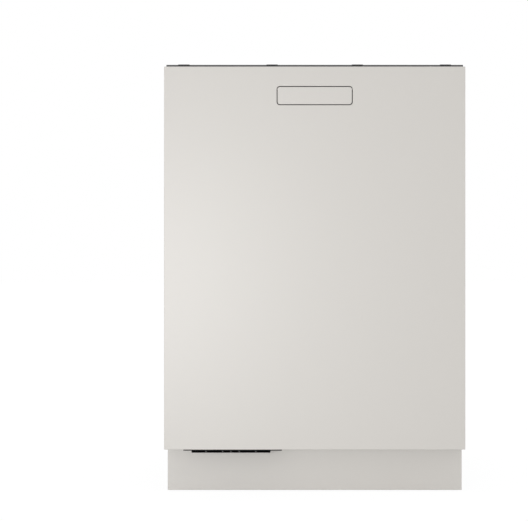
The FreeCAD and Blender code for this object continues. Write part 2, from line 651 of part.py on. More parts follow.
class Piece:
    """One sub-part, as a body whose sketches and features take their sizes from the sheet."""

    def __init__(self, label):
        self.body = doc.addObject("PartDesign::Body", label)
        self.body.Label = label
        bind(self.body, "Placement.Base.y", -size.overall_depth / 2)
        self.origin = {item.Role: item for item in self.body.Origin.OriginFeatures}

    def sketch(self, plane, at, loops):
        sketch = self.body.newObject("Sketcher::SketchObject", f"{self.body.Name}_outline")
        sketch.AttachmentSupport = (self.origin[f"{plane}_Plane"], [""])
        sketch.MapMode = "FlatFace"
        bind(sketch, "AttachmentOffset.Base.z", -at if plane == "XZ" else at)
        for loop in loops:
            loop(sketch)
        return sketch

    def feature(self, kind, sketch):
        feature = self.body.newObject(f"PartDesign::{kind}", f"{self.body.Name}_{kind.lower()}")
        feature.Profile = sketch
        sketch.Visibility = False
        return feature

    def pad(self, plane, start, end, *loops):
        """Adds material from one plane to another."""
        feature = self.feature("Pad", self.sketch(plane, start, loops))
        feature.Reversed = plane == "XZ"
        bind(feature, "Length", end - start)
        return feature

    def pocket(self, plane, start, end, *loops):
        """Cuts material away from one plane to another."""
        feature = self.feature("Pocket", self.sketch(plane, start, loops))
        feature.Reversed = plane != "XZ"
        bind(feature, "Length", end - start)
        return feature

    def wire(self, axis, start, end, across, up, radius, sides):
        """A straight wire along an axis, with flat sides."""
        plane = {"X": "YZ", "Y": "XZ", "Z": "XY"}[axis]
        return self.pad(plane, start, end, faceted(across, up, radius, sides))

    def repeat(self, feature, axis, length, count):
        """Repeats a feature evenly over a length."""
        pattern = self.body.newObject("PartDesign::LinearPattern", f"{self.body.Name}_row")
        pattern.Originals = [feature]
        pattern.Direction = (self.origin[f"{axis}_Axis"], [""])
        bind(pattern, "Length", length)
        bind(pattern, "Occurrences", count)
        self.body.Tip = pattern
        return pattern

    def mirror(self, *features):
        """Repeats features on the other side of the machine."""
        mirrored = self.body.newObject("PartDesign::Mirrored", f"{self.body.Name}_pair")
        mirrored.Originals = list(features)
        mirrored.MirrorPlane = (self.origin["YZ_Plane"], [""])
        self.body.Tip = mirrored
        return mirrored

    def picked(self, kind, points):
        """The newest feature and the names of its edges or faces that pass through the given points."""
        doc.recompute()
        shape = self.body.Tip.Shape
        names = []
        for point in points:
            vertex = Part.Vertex(spot(*point))
            for index, element in enumerate(getattr(shape, f"{kind}s"), 1):
                if element.distToShape(vertex)[0] < PICK_SLACK and f"{kind}{index}" not in names:
                    names.append(f"{kind}{index}")
        if not names:
            raise RuntimeError(f"{self.body.Name} has nothing at {points}")
        return self.body.Tip, names

    def round_edges(self, radius, *points):
        """Rounds the edges that pass through the given points."""
        base = self.picked("Edge", points)
        fillet = self.body.newObject("PartDesign::Fillet", f"{self.body.Name}_round")
        fillet.Base = base
        bind(fillet, "Radius", radius)
        return fillet

    def shell(self, thickness, *points):
        """Hollows the solid to a sheet, open at the faces that hold the given points."""
        base = self.picked("Face", points)
        hollow = self.body.newObject("PartDesign::Thickness", f"{self.body.Name}_sheet")
        hollow.Base = base
        hollow.Reversed = True
        bind(hollow, "Value", thickness)
        return hollow


def make_front_panel():
    """Folded steel front with the opening for the handle flap."""
    half = door_half
    panel = Piece("front_panel")
    panel.pad("XZ", zero, size.panel_depth,
              rounded(-half, half, size.door_bottom, door_top, size.panel_corner_round))
    inner = half - size.panel_sheet
    panel.pocket("XZ", size.panel_sheet, size.panel_depth + size.cut_overrun,
                 chamfered(-inner, inner, size.door_bottom + size.panel_sheet, door_top - size.panel_sheet,
                           size.panel_corner_round - size.panel_sheet))
    handle_half = size.handle_width / 2
    rise = size.handle_height / 2
    panel.pocket("XZ", zero, size.panel_sheet + size.cut_overrun,
                 rounded(-handle_half, handle_half, handle_z - rise, handle_z + rise, size.handle_corner))
    neck = size.duct_width / 2 + size.seat_gap
    panel.pocket("XY", size.door_bottom - size.cut_overrun, size.door_bottom + size.cut_overrun,
                 rectangle(vent_x - neck, vent_x + neck,
                           size.duct_neck_front - size.seat_gap, size.duct_neck_back + size.seat_gap))


def make_handle():
    """Finger pocket behind the front, and the sprung flap that closes it."""
    half = size.handle_width / 2 + size.pocket_side_room
    low = handle_z - size.handle_height / 2 - size.pocket_bottom_room
    high = handle_z + size.handle_height / 2 + size.pocket_top_room
    wall = size.pocket_wall
    rim = size.pocket_rim
    front = size.panel_sheet + size.seat_gap
    pocket = Piece("handle_pocket")
    pocket.pad("XZ", front, size.pocket_depth,
               chamfered(-half - wall, half + wall, low - wall, high + wall, size.pocket_corner))
    pocket.pad("XZ", front, front + wall,
               chamfered(-half - rim, half + rim, low - rim, high + rim, size.pocket_corner))
    pocket.pocket("XZ", front, size.pocket_depth - wall,
                  chamfered(-half, half, low, high, size.pocket_corner - wall))
    reach = half + wall + size.cut_overrun
    pocket.pocket("YZ", -reach, reach,
                  faceted_hole(size.flap_pivot_back, flap_pivot_z,
                               size.flap_pin_radius + size.flap_pin_clearance, SMALL_SIDES))

    flap_half = size.handle_width / 2 - size.flap_gap
    flap_low = handle_z - size.handle_height / 2 + size.flap_gap
    corner = size.handle_corner - size.flap_gap
    rib = size.flap_rib
    flap = Piece("handle_flap")
    flap.pad("XZ", zero, size.flap_thickness, rounded(-flap_half, flap_half, flap_low, flap_top, corner))
    barrel = flap_half - size.handle_corner
    flap.pad("XZ", size.flap_thickness, size.flap_thickness + size.flap_rib_depth,
             rectangle(-barrel, barrel, flap_low + rib, flap_low + rib * 2))
    flap.pad("XZ", size.flap_thickness, size.flap_pivot_back,
             rectangle(-barrel, barrel, flap_pivot_z - rib, flap_pivot_z + rib))
    flap.pad("YZ", -barrel, barrel,
             faceted(size.flap_pivot_back, flap_pivot_z, size.flap_barrel_radius, SMALL_SIDES))
    pin = half + wall - size.seat_gap
    flap.pad("YZ", -pin, pin,
             faceted(size.flap_pivot_back, flap_pivot_z, size.flap_pin_radius, SMALL_SIDES))


def make_inner_door():
    """Pressed stainless inner door with its recess and the two ribs that the lower rack rolls on."""
    half = liner_half
    sheet = size.liner_sheet
    front = size.panel_depth + size.seat_gap
    low = size.door_bottom + size.liner_bottom_rise
    liner = Piece("inner_door")
    liner.pad("XZ", front, liner_face, chamfered(-half, half, low, liner_top, size.panel_corner_round))
    liner.pocket("XZ", front, size.liner_back,
                 rectangle(-half + sheet, half - sheet, low + sheet, liner_top - sheet))
    inner = half - size.recess_side
    recess_low = size.door_bottom + size.recess_bottom_rise
    recess_high = door_top - size.recess_top_drop
    corner = size.recess_corner
    liner.pad("XZ", size.recess_back, liner_face,
              chamfered(-inner - sheet, inner + sheet, recess_low - sheet, recess_high + sheet, corner / 2))
    liner.pocket("XZ", recess_face, liner_face + size.cut_overrun,
                 rounded(-inner, inner, recess_low, recess_high, corner))
    rib_middle = (tub_half + ledge_half) / 2
    rib_inner = rib_middle - size.runner_rib_width / 2
    rib_outer = rib_middle + size.runner_rib_width / 2
    rib_low = size.door_bottom + size.runner_rib_rise
    rib_high = rib_low + size.runner_rib_length
    rib_back = liner_face + size.runner_rib_proud
    outer_rib = liner.pad("XZ", size.liner_back, rib_back,
                          chamfered(rib_inner, rib_outer, rib_low, rib_high, size.runner_rib_round))
    hollow_rib = liner.pocket("XZ", size.liner_back, rib_back - sheet,
                              chamfered(rib_inner + sheet, rib_outer - sheet, rib_low + sheet,
                                        rib_high - sheet, size.runner_rib_round - sheet))
    slot = liner.pocket("XZ", front - size.cut_overrun, liner_face + size.cut_overrun,
                        rectangle(half - size.hinge_slot_inset, half - size.hinge_slot_margin,
                                  low - size.cut_overrun, low + size.hinge_slot_height))
    liner.mirror(outer_rib, hollow_rib, slot)
    width = size.dispenser_width / 2 + size.seat_gap
    bottom = size.door_bottom + size.dispenser_rise
    liner.pocket("XZ", size.recess_back - size.cut_overrun, recess_face + size.cut_overrun,
                 rectangle(-width, width, bottom - size.seat_gap,
                           bottom + size.dispenser_height + size.seat_gap))
    duct_half = size.duct_width / 2
    mouth_top = size.door_bottom + size.duct_height - size.duct_mouth_drop
    liner.pocket("XZ", size.recess_back - size.cut_overrun, recess_face + size.cut_overrun,
                 rectangle(vent_x - duct_half, vent_x + duct_half,
                           mouth_top - size.duct_mouth_height, mouth_top))


def make_bottom_seal():
    """Rubber sweep seal between the foot of the inner door and the lip of the tub."""
    half = tub_half - size.bottom_seal_side
    low = size.door_bottom + size.bottom_seal_rise
    high = low + size.bottom_seal_height
    front = liner_face
    back = size.tub_front - size.bottom_seal_gap
    lip = size.bottom_seal_lip
    seal = Piece("door_bottom_seal")
    seal.pad("YZ", -half, half,
             outline((front, low), (back - lip, low), (back, low + lip), (back, high), (back - lip, high),
                     (back - lip, low + lip), (front + lip, low + lip), (front + lip, high), (front, high)))


def make_controls():
    """Control strip in the top edge of the door, its board and its four buttons."""
    half = liner_half
    front = size.panel_depth + size.seat_gap
    low = fascia_top - size.fascia_height
    wall = size.fascia_wall
    latch_half = size.latch_width / 2 + size.latch_room
    middle = (front + liner_face) / 2
    fascia = Piece("control_fascia")
    fascia.pad("XZ", front, liner_face, chamfered(-half, half, low, fascia_top, size.panel_corner_round))
    fascia.pocket("XZ", front + wall, liner_face - wall,
                  rectangle(-half + wall, half - wall, low - size.cut_overrun, fascia_top - wall))
    fascia.pocket("XZ", front + wall, liner_face + size.cut_overrun,
                  rectangle(-latch_half, latch_half, fascia_top - size.latch_height - size.latch_room,
                            fascia_top + size.cut_overrun))
    display_half = size.display_depth / 2
    fascia.pocket("XY", fascia_top - size.display_sink, fascia_top + size.cut_overrun,
                  chamfered(-size.display_along - size.display_width / 2,
                            -size.display_along + size.display_width / 2,
                            middle - display_half, middle + display_half, size.button_round))
    buttons = (
        ("button_power", size.power_inset - half),
        ("button_program", size.program_inset - half),
        ("button_options", half - size.options_inset),
        ("button_start", half - size.start_inset),
    )
    room = size.button_gap
    across = size.button_width / 2
    deep = size.button_depth / 2
    for name, place in buttons:
        fascia.pocket("XY", fascia_top - wall - size.cut_overrun, fascia_top + size.cut_overrun,
                      chamfered(place - across - room, place + across + room, middle - deep - room,
                                middle + deep + room, size.button_round))
        button = Piece(name)
        top = fascia_top + size.button_proud
        collar = size.button_collar
        collar_top = fascia_top - wall - size.button_gap
        button.pad("XY", top - size.button_height, top,
                   chamfered(place - across, place + across, middle - deep, middle + deep, size.button_round))
        button.pad("XY", collar_top - collar, collar_top,
                   rectangle(place - across - collar, place + across + collar, middle - deep - collar,
                             middle + deep + collar))
    board_top = fascia_top - size.board_drop
    board_half = size.board_width / 2
    edge = size.seat_gap
    board = Piece("control_board")
    board.pad("XY", board_top - size.board_thickness, board_top,
              rectangle(-half + wall + edge, -half + wall + edge + board_half, front + wall + edge,
                        liner_face - wall - edge))
    board.pad("XY", board_top, board_top + size.board_chip_height,
              rectangle(-size.display_along - size.board_chip_width,
                        -size.display_along + size.board_chip_width, middle - display_half,
                        middle + display_half))


def make_latch():
    """Catch in the top of the door, and the tongue on the tub that enters it."""
    half = size.latch_width / 2
    low = fascia_top - size.latch_height
    front = size.panel_depth + size.seat_gap + size.fascia_wall + size.latch_room
    mouth_top = fascia_top - size.latch_slot_drop
    mouth = size.latch_slot_width / 2
    case = Piece("latch_case")
    case.pad("XZ", front, liner_face, rectangle(-half, half, low, fascia_top))
    case.pocket("XZ", liner_face - size.latch_slot_depth, liner_face + size.cut_overrun,
                rectangle(-mouth, mouth, mouth_top - size.latch_slot_height, mouth_top))
    tongue_middle = mouth_top - size.latch_slot_height / 2
    tongue = size.tongue_width / 2
    rise = size.tongue_thickness / 2
    plate_half = size.striker_width / 2
    striker = Piece("latch_striker")
    striker.pad("XZ", size.tub_front - size.striker_plate, size.tub_front,
                rectangle(-plate_half, plate_half, tongue_middle - size.striker_height / 2,
                          tongue_middle + size.striker_height / 2))
    striker.pad("XZ", size.tub_front - size.tongue_length, size.tub_front,
                rectangle(-tongue, tongue, tongue_middle - rise, tongue_middle + rise))


def make_dispenser():
    """Detergent and rinse aid dispenser with its sliding lid and screw cap."""
    half = size.dispenser_width / 2
    low = size.door_bottom + size.dispenser_rise
    high = low + size.dispenser_height
    rim = size.dispenser_rim
    back = size.dispenser_back
    body = Piece("dispenser_body")
    body.pad("XZ", size.dispenser_front, back, chamfered(-half, half, low, high, size.dispenser_corner))
    body.pad("XZ", recess_face + size.seat_gap, recess_face + size.seat_gap + size.dispenser_rim_thickness,
             chamfered(-half - rim, half + rim, low - rim, high + rim, size.dispenser_corner))
    cup_left = -half + size.cup_side_wall
    cup_right = cup_left + size.cup_width
    middle = (low + high) / 2
    cup_low = middle - size.cup_height / 2
    cup_high = middle + size.cup_height / 2
    body.pocket("XZ", back - size.cup_depth, back + size.cut_overrun,
                chamfered(cup_left, cup_right, cup_low, cup_high, size.cup_corner))
    cap_x = half - size.rinse_cap_side
    body.pocket("XZ", back - size.rinse_plug_depth - size.seat_gap, back + size.cut_overrun,
                faceted_hole(cap_x, middle, size.rinse_plug_radius + size.rinse_plug_clearance, ROUND_SIDES))

    margin = size.lid_margin
    face = back + size.seat_gap
    lid_back = face + size.lid_thickness
    lid = Piece("dispenser_lid")
    lid.pad("XZ", face, lid_back,
            chamfered(cup_left - margin, cup_right + margin, cup_low - margin, cup_high + margin,
                      size.cup_corner))
    grip = size.lid_grip
    lid.pad("XZ", lid_back, lid_back + grip,
            rectangle(cup_left + margin * 3, cup_right - margin * 3, cup_low, cup_low + grip))

    cap_back = face + size.rinse_cap_height
    cap = Piece("rinse_aid_cap")
    cap.pad("XZ", back - size.rinse_plug_depth, face,
            faceted(cap_x, middle, size.rinse_plug_radius, ROUND_SIDES))
    cap.pad("XZ", face, cap_back, faceted(cap_x, middle, size.rinse_cap_radius, ROUND_SIDES))
    reach = size.rinse_cap_radius - size.grip_thickness
    cap.pad("XZ", cap_back, cap_back + size.grip_height,
            rectangle(cap_x - reach, cap_x + reach, middle - size.grip_thickness / 2,
                      middle + size.grip_thickness / 2))


def make_vent():
    """Steam duct inside the door, with its intake in the tub and its louvred outlet below the door."""
    left = vent_x - size.duct_width / 2
    right = vent_x + size.duct_width / 2
    wall = size.duct_wall
    low = size.door_bottom + size.liner_bottom_rise + size.liner_sheet + size.seat_gap
    high = size.door_bottom + size.duct_height
    mouth_top = high - size.duct_mouth_drop
    mouth_low = mouth_top - size.duct_mouth_height
    rim = size.duct_grille_rim
    gap = size.seat_gap
    duct = Piece("vent_duct")
    duct.pad("XY", low, high, rectangle(left, right, size.duct_front, size.duct_back))
    duct.pocket("XY", low - size.cut_overrun, high - wall,
                rectangle(left + wall, right - wall, size.duct_front + wall, size.duct_back - wall))
    duct.pad("XZ", size.duct_back - wall, recess_face + gap,
             rectangle(left + gap, right - gap, mouth_low + gap, mouth_top - gap))
    duct.pad("XZ", recess_face + gap, recess_face + gap + size.duct_grille_proud,
             rectangle(left - rim, right + rim, mouth_low - rim, mouth_top + rim))
    slat = size.duct_slat
    pitch = size.duct_mouth_height / size.duct_slat_count
    window = duct.pocket("XZ", size.duct_back - wall * 2, recess_face + gap + size.duct_grille_proud + wall,
                         rectangle(left + wall, right - wall, mouth_low + wall,
                                   mouth_low + pitch - slat + wall))
    duct.repeat(window, "Z", pitch * (size.duct_slat_count - 1), size.duct_slat_count)

    top = size.door_bottom - gap
    flange_low = top - size.vent_flange_thickness
    mouth_floor = flange_low - size.vent_height
    flange_half = size.vent_flange_width / 2
    half = size.vent_width / 2
    middle = vent_x
    flange_middle = vent_x + size.vent_flange_shift
    outlet = Piece("vent_outlet")
    outlet.pad("XY", flange_low, top,
               rectangle(flange_middle - flange_half, flange_middle + flange_half,
                         size.vent_flange_front, size.vent_flange_back))
    outlet.pad("XY", mouth_floor, flange_low,
               rectangle(middle - half, middle + half, size.vent_front, size.vent_back))
    outlet.pad("XY", top, low - gap,
               rectangle(left, right, size.duct_neck_front, size.duct_neck_back))
    outlet.pocket("XY", flange_low, low - gap + size.cut_overrun,
                  rectangle(left + wall, right - wall, size.duct_neck_front + wall,
                            size.duct_neck_back - wall))
    ribs = [-half, -size.vent_outer_rib, -size.vent_inner_rib, zero, size.vent_inner_rib,
            size.vent_outer_rib, half]
    side = size.vent_rib / 2
    for start, end in zip(ribs, ribs[1:]):
        outlet.pocket("XZ", size.vent_front - size.cut_overrun, size.vent_front + size.vent_cell_depth,
                      rectangle(middle + start + side, middle + end - side, mouth_floor + size.vent_wall,
                                flange_low))


def make_hinges():
    """Hinge plates on the base, hinge arms on the door and the counterbalance springs between them."""
    inner = cabinet_half - size.hinge_plate_inset
    outer = inner + size.hinge_plate_thickness
    nose = size.hinge_back - size.hinge_plate_below
    pin = size.hinge_pin_radius
    inside = size.base_front + size.base_wall + size.cut_overrun
    plates = Piece("hinge_plates")
    plate = plates.pad("YZ", inner, outer,
                       outline((nose, hinge_z - size.hinge_plate_below),
                               (inside, hinge_z - size.hinge_plate_below),
                               (inside, hinge_z - size.hinge_plate_skirt),
                               (size.hinge_plate_back, hinge_z - size.hinge_plate_skirt),
                               (size.hinge_plate_back, hinge_z - size.hinge_plate_above),
                               (inside, hinge_z + size.hinge_plate_above),
                               (nose, hinge_z + size.hinge_plate_above)))
    stub = plates.pad("YZ", inner - size.hinge_pin_length, outer, circle(size.hinge_back, hinge_z, pin))
    plates.mirror(plate, stub)

    arm_inner = cabinet_half - size.hinge_arm_inset
    arm_outer = arm_inner + size.hinge_arm_thickness
    foot = size.hinge_arm_foot
    depth = size.hinge_arm_depth
    tail = size.hinge_back + size.hinge_tail
    half = size.hinge_tail_half
    high = hinge_z + size.hinge_arm_height
    back = size.hinge_back - foot + depth
    arms = Piece("hinge_arms")
    arm = arms.pad("YZ", arm_inner, arm_outer,
                   outline((size.hinge_back - foot, hinge_z - foot),
                           (size.hinge_back + foot, hinge_z - foot),
                           (tail, hinge_z - half), (tail + half * 2, hinge_z - half),
                           (tail + half * 2, hinge_z + half), (back, hinge_z + foot + half), (back, high),
                           (size.hinge_back - foot, high)))
    bore = arms.pocket("YZ", arm_inner - size.cut_overrun, arm_outer + size.cut_overrun,
                       circle(size.hinge_back, hinge_z, pin + size.hinge_pin_clearance),
                       faceted(tail + half, hinge_z, size.spring_hook_radius * 2, SMALL_SIDES))
    arms.mirror(arm, bore)

    hook = size.spring_hook_radius
    plane = cabinet_half - size.spring_inset
    start = tail + half
    coil_start = start + size.spring_hook_length
    coil_end = coil_start + size.spring_length
    end = coil_end + size.spring_hook_length
    springs = Piece("door_springs")
    parts = [
        springs.wire("Y", start, end, plane, hinge_z, hook, RIM_SIDES),
        springs.wire("Y", coil_start, coil_end, plane, hinge_z, size.spring_radius, SMALL_SIDES),
        springs.wire("X", plane - hook, arm_outer + hook, start, hinge_z, hook, RIM_SIDES),
        springs.wire("X", plane - hook, inner - size.seat_gap, end, hinge_z, hook, RIM_SIDES),
    ]
    springs.mirror(*parts)


def make_tub():
    """Pressed stainless tub with rack ledges, a sunk basin and a front flange, and its door gasket."""
    sheet = size.tub_sheet
    half = tub_half
    ledge = ledge_half
    basin = tub_half - size.basin_side
    tub = Piece("tub")

    back = tub_back + sheet
    low = ledge_z - sheet
    high = tub_ceiling + sheet
    outer = half + sheet
    tub.pad("XZ", size.tub_front, back,
            outline((-outer, high), (-outer, low), (-ledge - sheet, low), (-basin - sheet, basin_z - sheet),
                    (basin + sheet, basin_z - sheet), (ledge + sheet, low), (outer, low), (outer, high)))
    middle_y = (size.tub_front + tub_back) / 2
    middle_z = (ledge_z + tub_ceiling) / 2
    tub.round_edges(size.tub_round + sheet, (outer, middle_y, high), (-outer, middle_y, high))
    tub.shell(sheet, (zero, size.tub_front, middle_z))
    flange = cabinet_half - size.flange_side_room
    flange_top = door_top - size.flange_top_drop
    round_top = size.tub_round
    tub.pad("XZ", size.tub_front, size.tub_front + sheet,
            rectangle(-flange, flange, basin_z - sheet, flange_top),
            arched(-half, half, ledge_z, tub_ceiling, round_top))
    notch = cabinet_half - size.flange_notch_inset
    cut = tub.pocket("XZ", size.tub_front - size.cut_overrun, size.tub_front + sheet * 2,
                     rectangle(notch, flange + size.cut_overrun, basin_z - size.cut_overrun,
                               size.flange_notch_height))
    tub.mirror(cut)
    tub.pocket("XY", basin_z - size.cut_overrun, basin_z + size.cut_overrun,
               around_sump(size.sump_hole_half),
               faceted_hole(-size.salt_left, size.salt_back, size.salt_hole_radius, ROUND_SIDES),
               faceted_hole(zero, tub_back - size.feed_neck_radius * 2, size.feed_hole_radius, SMALL_SIDES))

    inset = size.gasket_inset
    thick = size.gasket_thickness
    lip = size.gasket_lip
    front = liner_face + size.seat_gap
    foot = ledge_z + size.gasket_foot
    inner = half + inset
    outer = inner + thick
    high = tub_ceiling + inset - lip
    gasket = Piece("tub_gasket")
    curve = round_top + thick
    gasket.pad("XZ", front, size.tub_front,
               outline((-outer, foot), (-inner, foot), (-inner, high, round_top), (inner, high, round_top),
                       (inner, foot), (outer, foot), (outer, high + thick, curve),
                       (-outer, high + thick, curve)))
    near = inner + lip
    far = outer - lip
    groove = high + lip
    gasket.pocket("XZ", front, front + lip * 2,
                  outline((-far, foot - lip), (-near, foot - lip), (-near, groove, round_top),
                          (near, groove, round_top), (near, foot - lip), (far, foot - lip),
                          (far, high + thick - lip, round_top + lip),
                          (-far, high + thick - lip, round_top + lip)))


def make_cabinet():
    """Galvanised side, back and top panels, the felt over the tub and the worktop strip."""
    sheet = size.cabinet_sheet
    gap = size.seat_gap
    front = size.tub_front + size.tub_sheet + gap
    back = back_face - sheet - gap
    low = size.door_bottom + size.side_bottom_rise
    high = door_top - gap
    fold = size.side_fold
    bead = size.bead_width
    margin = size.bead_margin
    for name, side in (("side_panel_left", -1), ("side_panel_right", 1)):
        outer = cabinet_half * side
        inner = (cabinet_half - sheet) * side
        folded = (cabinet_half - fold) * side
        panel = Piece(name)
        panel.pad("XY", low, high,
                  outline((outer, front), (outer, back), (folded, back), (folded, back - sheet),
                          (inner, back - sheet), (inner, front + sheet), (folded, front + sheet),
                          (folded, front)))
        for start in (front + margin, back - margin - bead):
            floor = inner - size.bead_proud * side
            face = sorted((floor, outer), key=number)
            panel.pad("YZ", *face,
                      chamfered(start, start + bead, low + margin, high - margin, size.bead_corner))
            recess = sorted((floor + sheet * side, outer + size.cut_overrun * side), key=number)
            panel.pocket("YZ", *recess,
                         chamfered(start + sheet, start + bead - sheet, low + margin + sheet,
                                   high - margin - sheet, size.bead_corner))

    rear_low = size.door_bottom + size.rear_bottom_rise
    half = cabinet_half - gap
    rear = Piece("rear_panel")
    rear.pad("XZ", back_face - sheet, back_face, rectangle(-half, half, rear_low, high))
    floor = back_face - sheet - size.bead_proud
    for start in (-half + margin, half - margin - bead * 2):
        rear.pad("XZ", floor, back_face,
                 chamfered(start, start + bead * 2, rear_low + margin, high - margin, size.bead_corner))
        rear.pocket("XZ", floor + sheet, back_face + size.cut_overrun,
                    chamfered(start + sheet, start + bead * 2 - sheet, rear_low + margin + sheet,
                              high - margin - sheet, size.bead_corner))

    lid_half = cabinet_half - sheet - gap
    top = Piece("top_panel")
    top.pad("XZ", front, back, rectangle(-lid_half, lid_half, door_top, door_top + sheet))
    top.pad("XZ", front + sheet + gap, back - sheet - gap,
            outline((-lid_half, high - size.top_fold), (-lid_half + sheet, high - size.top_fold),
                    (-lid_half + sheet, door_top), (lid_half - sheet, door_top),
                    (lid_half - sheet, high - size.top_fold), (lid_half, high - size.top_fold),
                    (lid_half, door_top + sheet), (-lid_half, door_top + sheet)))

    felt = size.insulation_thickness
    felt_low = basin_z + size.rear_bottom_rise
    felt_top = tub_ceiling + size.tub_sheet + gap
    felt_back = tub_back + size.tub_sheet + gap
    insulation = Piece("tub_insulation")
    insulation.pad("YZ", size.insulation_side - tub_half, tub_half - size.insulation_side,
                   outline((front + felt, felt_top), (felt_back, felt_top), (felt_back, felt_low),
                           (felt_back + felt, felt_low), (felt_back + felt, felt_top + felt),
                           (front + felt, felt_top + felt)))

    strip = Piece("worktop_strip")
    strip.pad("XY", strip_bottom, strip_top, rectangle(-cabinet_half, cabinet_half, size.strip_front,
                                                       size.strip_back))
    groove = size.strip_groove
    for share in GROOVE_SHARES:
        start = size.strip_front + (size.strip_back - size.strip_front) * share
        strip.pocket("XY", strip_top - groove, strip_top + size.cut_overrun,
                     rectangle(-cabinet_half - size.cut_overrun, cabinet_half + size.cut_overrun, start,
                               start + groove * 2))
    hole_y = size.strip_front + size.lug_depth / 2
    bore = size.lug_hole_radius
    for place in (-lug_x, -size.lug_inner, size.lug_inner, lug_x):
        strip.pad("XY", strip_top, strip_top + size.lug_height,
                  rectangle(place - size.lug_width / 2, place + size.lug_width / 2, size.strip_front,
                            size.strip_front + size.lug_depth))
    strip.pocket("XY", strip_bottom - size.cut_overrun, strip_top + size.lug_height + size.cut_overrun,
                 circle(-lug_x, hole_y, bore), circle(lug_x, hole_y, bore),
                 faceted_hole(-size.lug_inner, hole_y, bore, SMALL_SIDES),
                 faceted_hole(size.lug_inner, hole_y, bore, SMALL_SIDES))


def make_plinth():
    """Folded plinth panel under the door."""
    front = size.plinth_setback
    back = size.base_front - size.seat_gap
    sheet = size.plinth_sheet
    low = size.plinth_floor_gap
    middle = (low + plinth_top) / 2
    plinth = Piece("plinth_panel")
    plinth.pad("XZ", front, back, rectangle(-plinth_half, plinth_half, low, plinth_top))
    plinth.round_edges(size.plinth_edge_round, (plinth_half, front, middle), (-plinth_half, front, middle),
                       (zero, front, plinth_top), (zero, front, low))
    plinth.pocket("XZ", front + sheet, back + size.cut_overrun,
                  rectangle(-plinth_half + sheet, plinth_half - sheet, low + sheet, plinth_top - sheet))


def make_base():
    """Moulded base tray with bosses for the feet, ribs and openings for the connectors."""
    half = cabinet_half - size.base_side_room
    wall = size.base_wall
    front = size.base_front
    back = size.base_back
    base = Piece("base_frame")
    base.pad("XY", size.base_bottom, base_top, rectangle(-half, half, front, back))
    base.pocket("XY", base_floor, base_top + size.cut_overrun,
                rectangle(-half + wall, half - wall, front + wall, back - wall))
    notch = cabinet_half - size.base_notch_inset
    cut = base.pocket("XZ", front - size.cut_overrun, front + wall + size.cut_overrun,
                      rectangle(notch, half + size.cut_overrun, size.base_notch_height,
                                base_top + size.cut_overrun))
    base.mirror(cut)
    rib_half = size.base_rib / 2
    rib_top = base_floor + size.base_rib_height
    base.pad("XY", base_floor, rib_top,
             rectangle(-half + wall, half - wall, size.foot_front_back - rib_half,
                       size.foot_front_back + rib_half))
    base.pad("XY", base_floor, rib_top,
             rectangle(-half + wall, half - wall, size.foot_rear_back - rib_half,
                       size.foot_rear_back + rib_half))
    corners = [(x, y) for x in (-foot_x, foot_x)
               for y in (size.foot_front_back, size.foot_rear_back)]
    base.pad("XY", base_floor, size.base_bottom + size.foot_boss_height,
             *[faceted(x, y, size.foot_boss_radius, SMALL_SIDES) for x, y in corners])
    bore = size.foot_spindle_radius + size.foot_clearance
    base.pocket("XY", size.base_bottom - size.cut_overrun,
                size.base_bottom + size.foot_boss_height + size.cut_overrun,
                *[faceted_hole(x, y, bore, SMALL_SIDES) for x, y in corners])
    base.pocket("XZ", back - wall - size.cut_overrun, back + size.cut_overrun,
                faceted_hole(size.valve_along, size.valve_centre_height,
                             size.valve_thread_radius + size.rear_hole_clearance, ROUND_SIDES),
                faceted_hole(-drain_axis_x(), size.pump_centre_height,
                             size.drain_spigot_radius + size.rear_hole_clearance, ROUND_SIDES))


def drain_axis_x():
    """How far the drain duct lies from the middle."""
    return size.sump_half + size.drain_inlet_radius * 2 + size.drain_head_length / 2


def make_feet():
    """Four screw feet."""
    places = (
        ("foot_front_left", -foot_x, size.foot_front_back),
        ("foot_front_right", foot_x, size.foot_front_back),
        ("foot_rear_left", -foot_x, size.foot_rear_back),
        ("foot_rear_right", foot_x, size.foot_rear_back),
    )
    pad = size.foot_pad_height
    for name, x, y in places:
        foot = Piece(name)
        foot.pad("XY", zero, pad, faceted(x, y, size.foot_pad_radius, ROUND_SIDES))
        foot.pad("XY", pad, pad + size.foot_nut_height, faceted(x, y, size.foot_nut_radius, RIM_SIDES))
        foot.pad("XY", pad, size.foot_spindle_height, faceted(x, y, size.foot_spindle_radius, SMALL_SIDES))


def around_sump(half):
    """The sump's outline, a square with its corners cut off."""
    centre = size.sump_back
    return chamfered(-half, half, centre - half, centre + half, half * size.sump_corner_share)


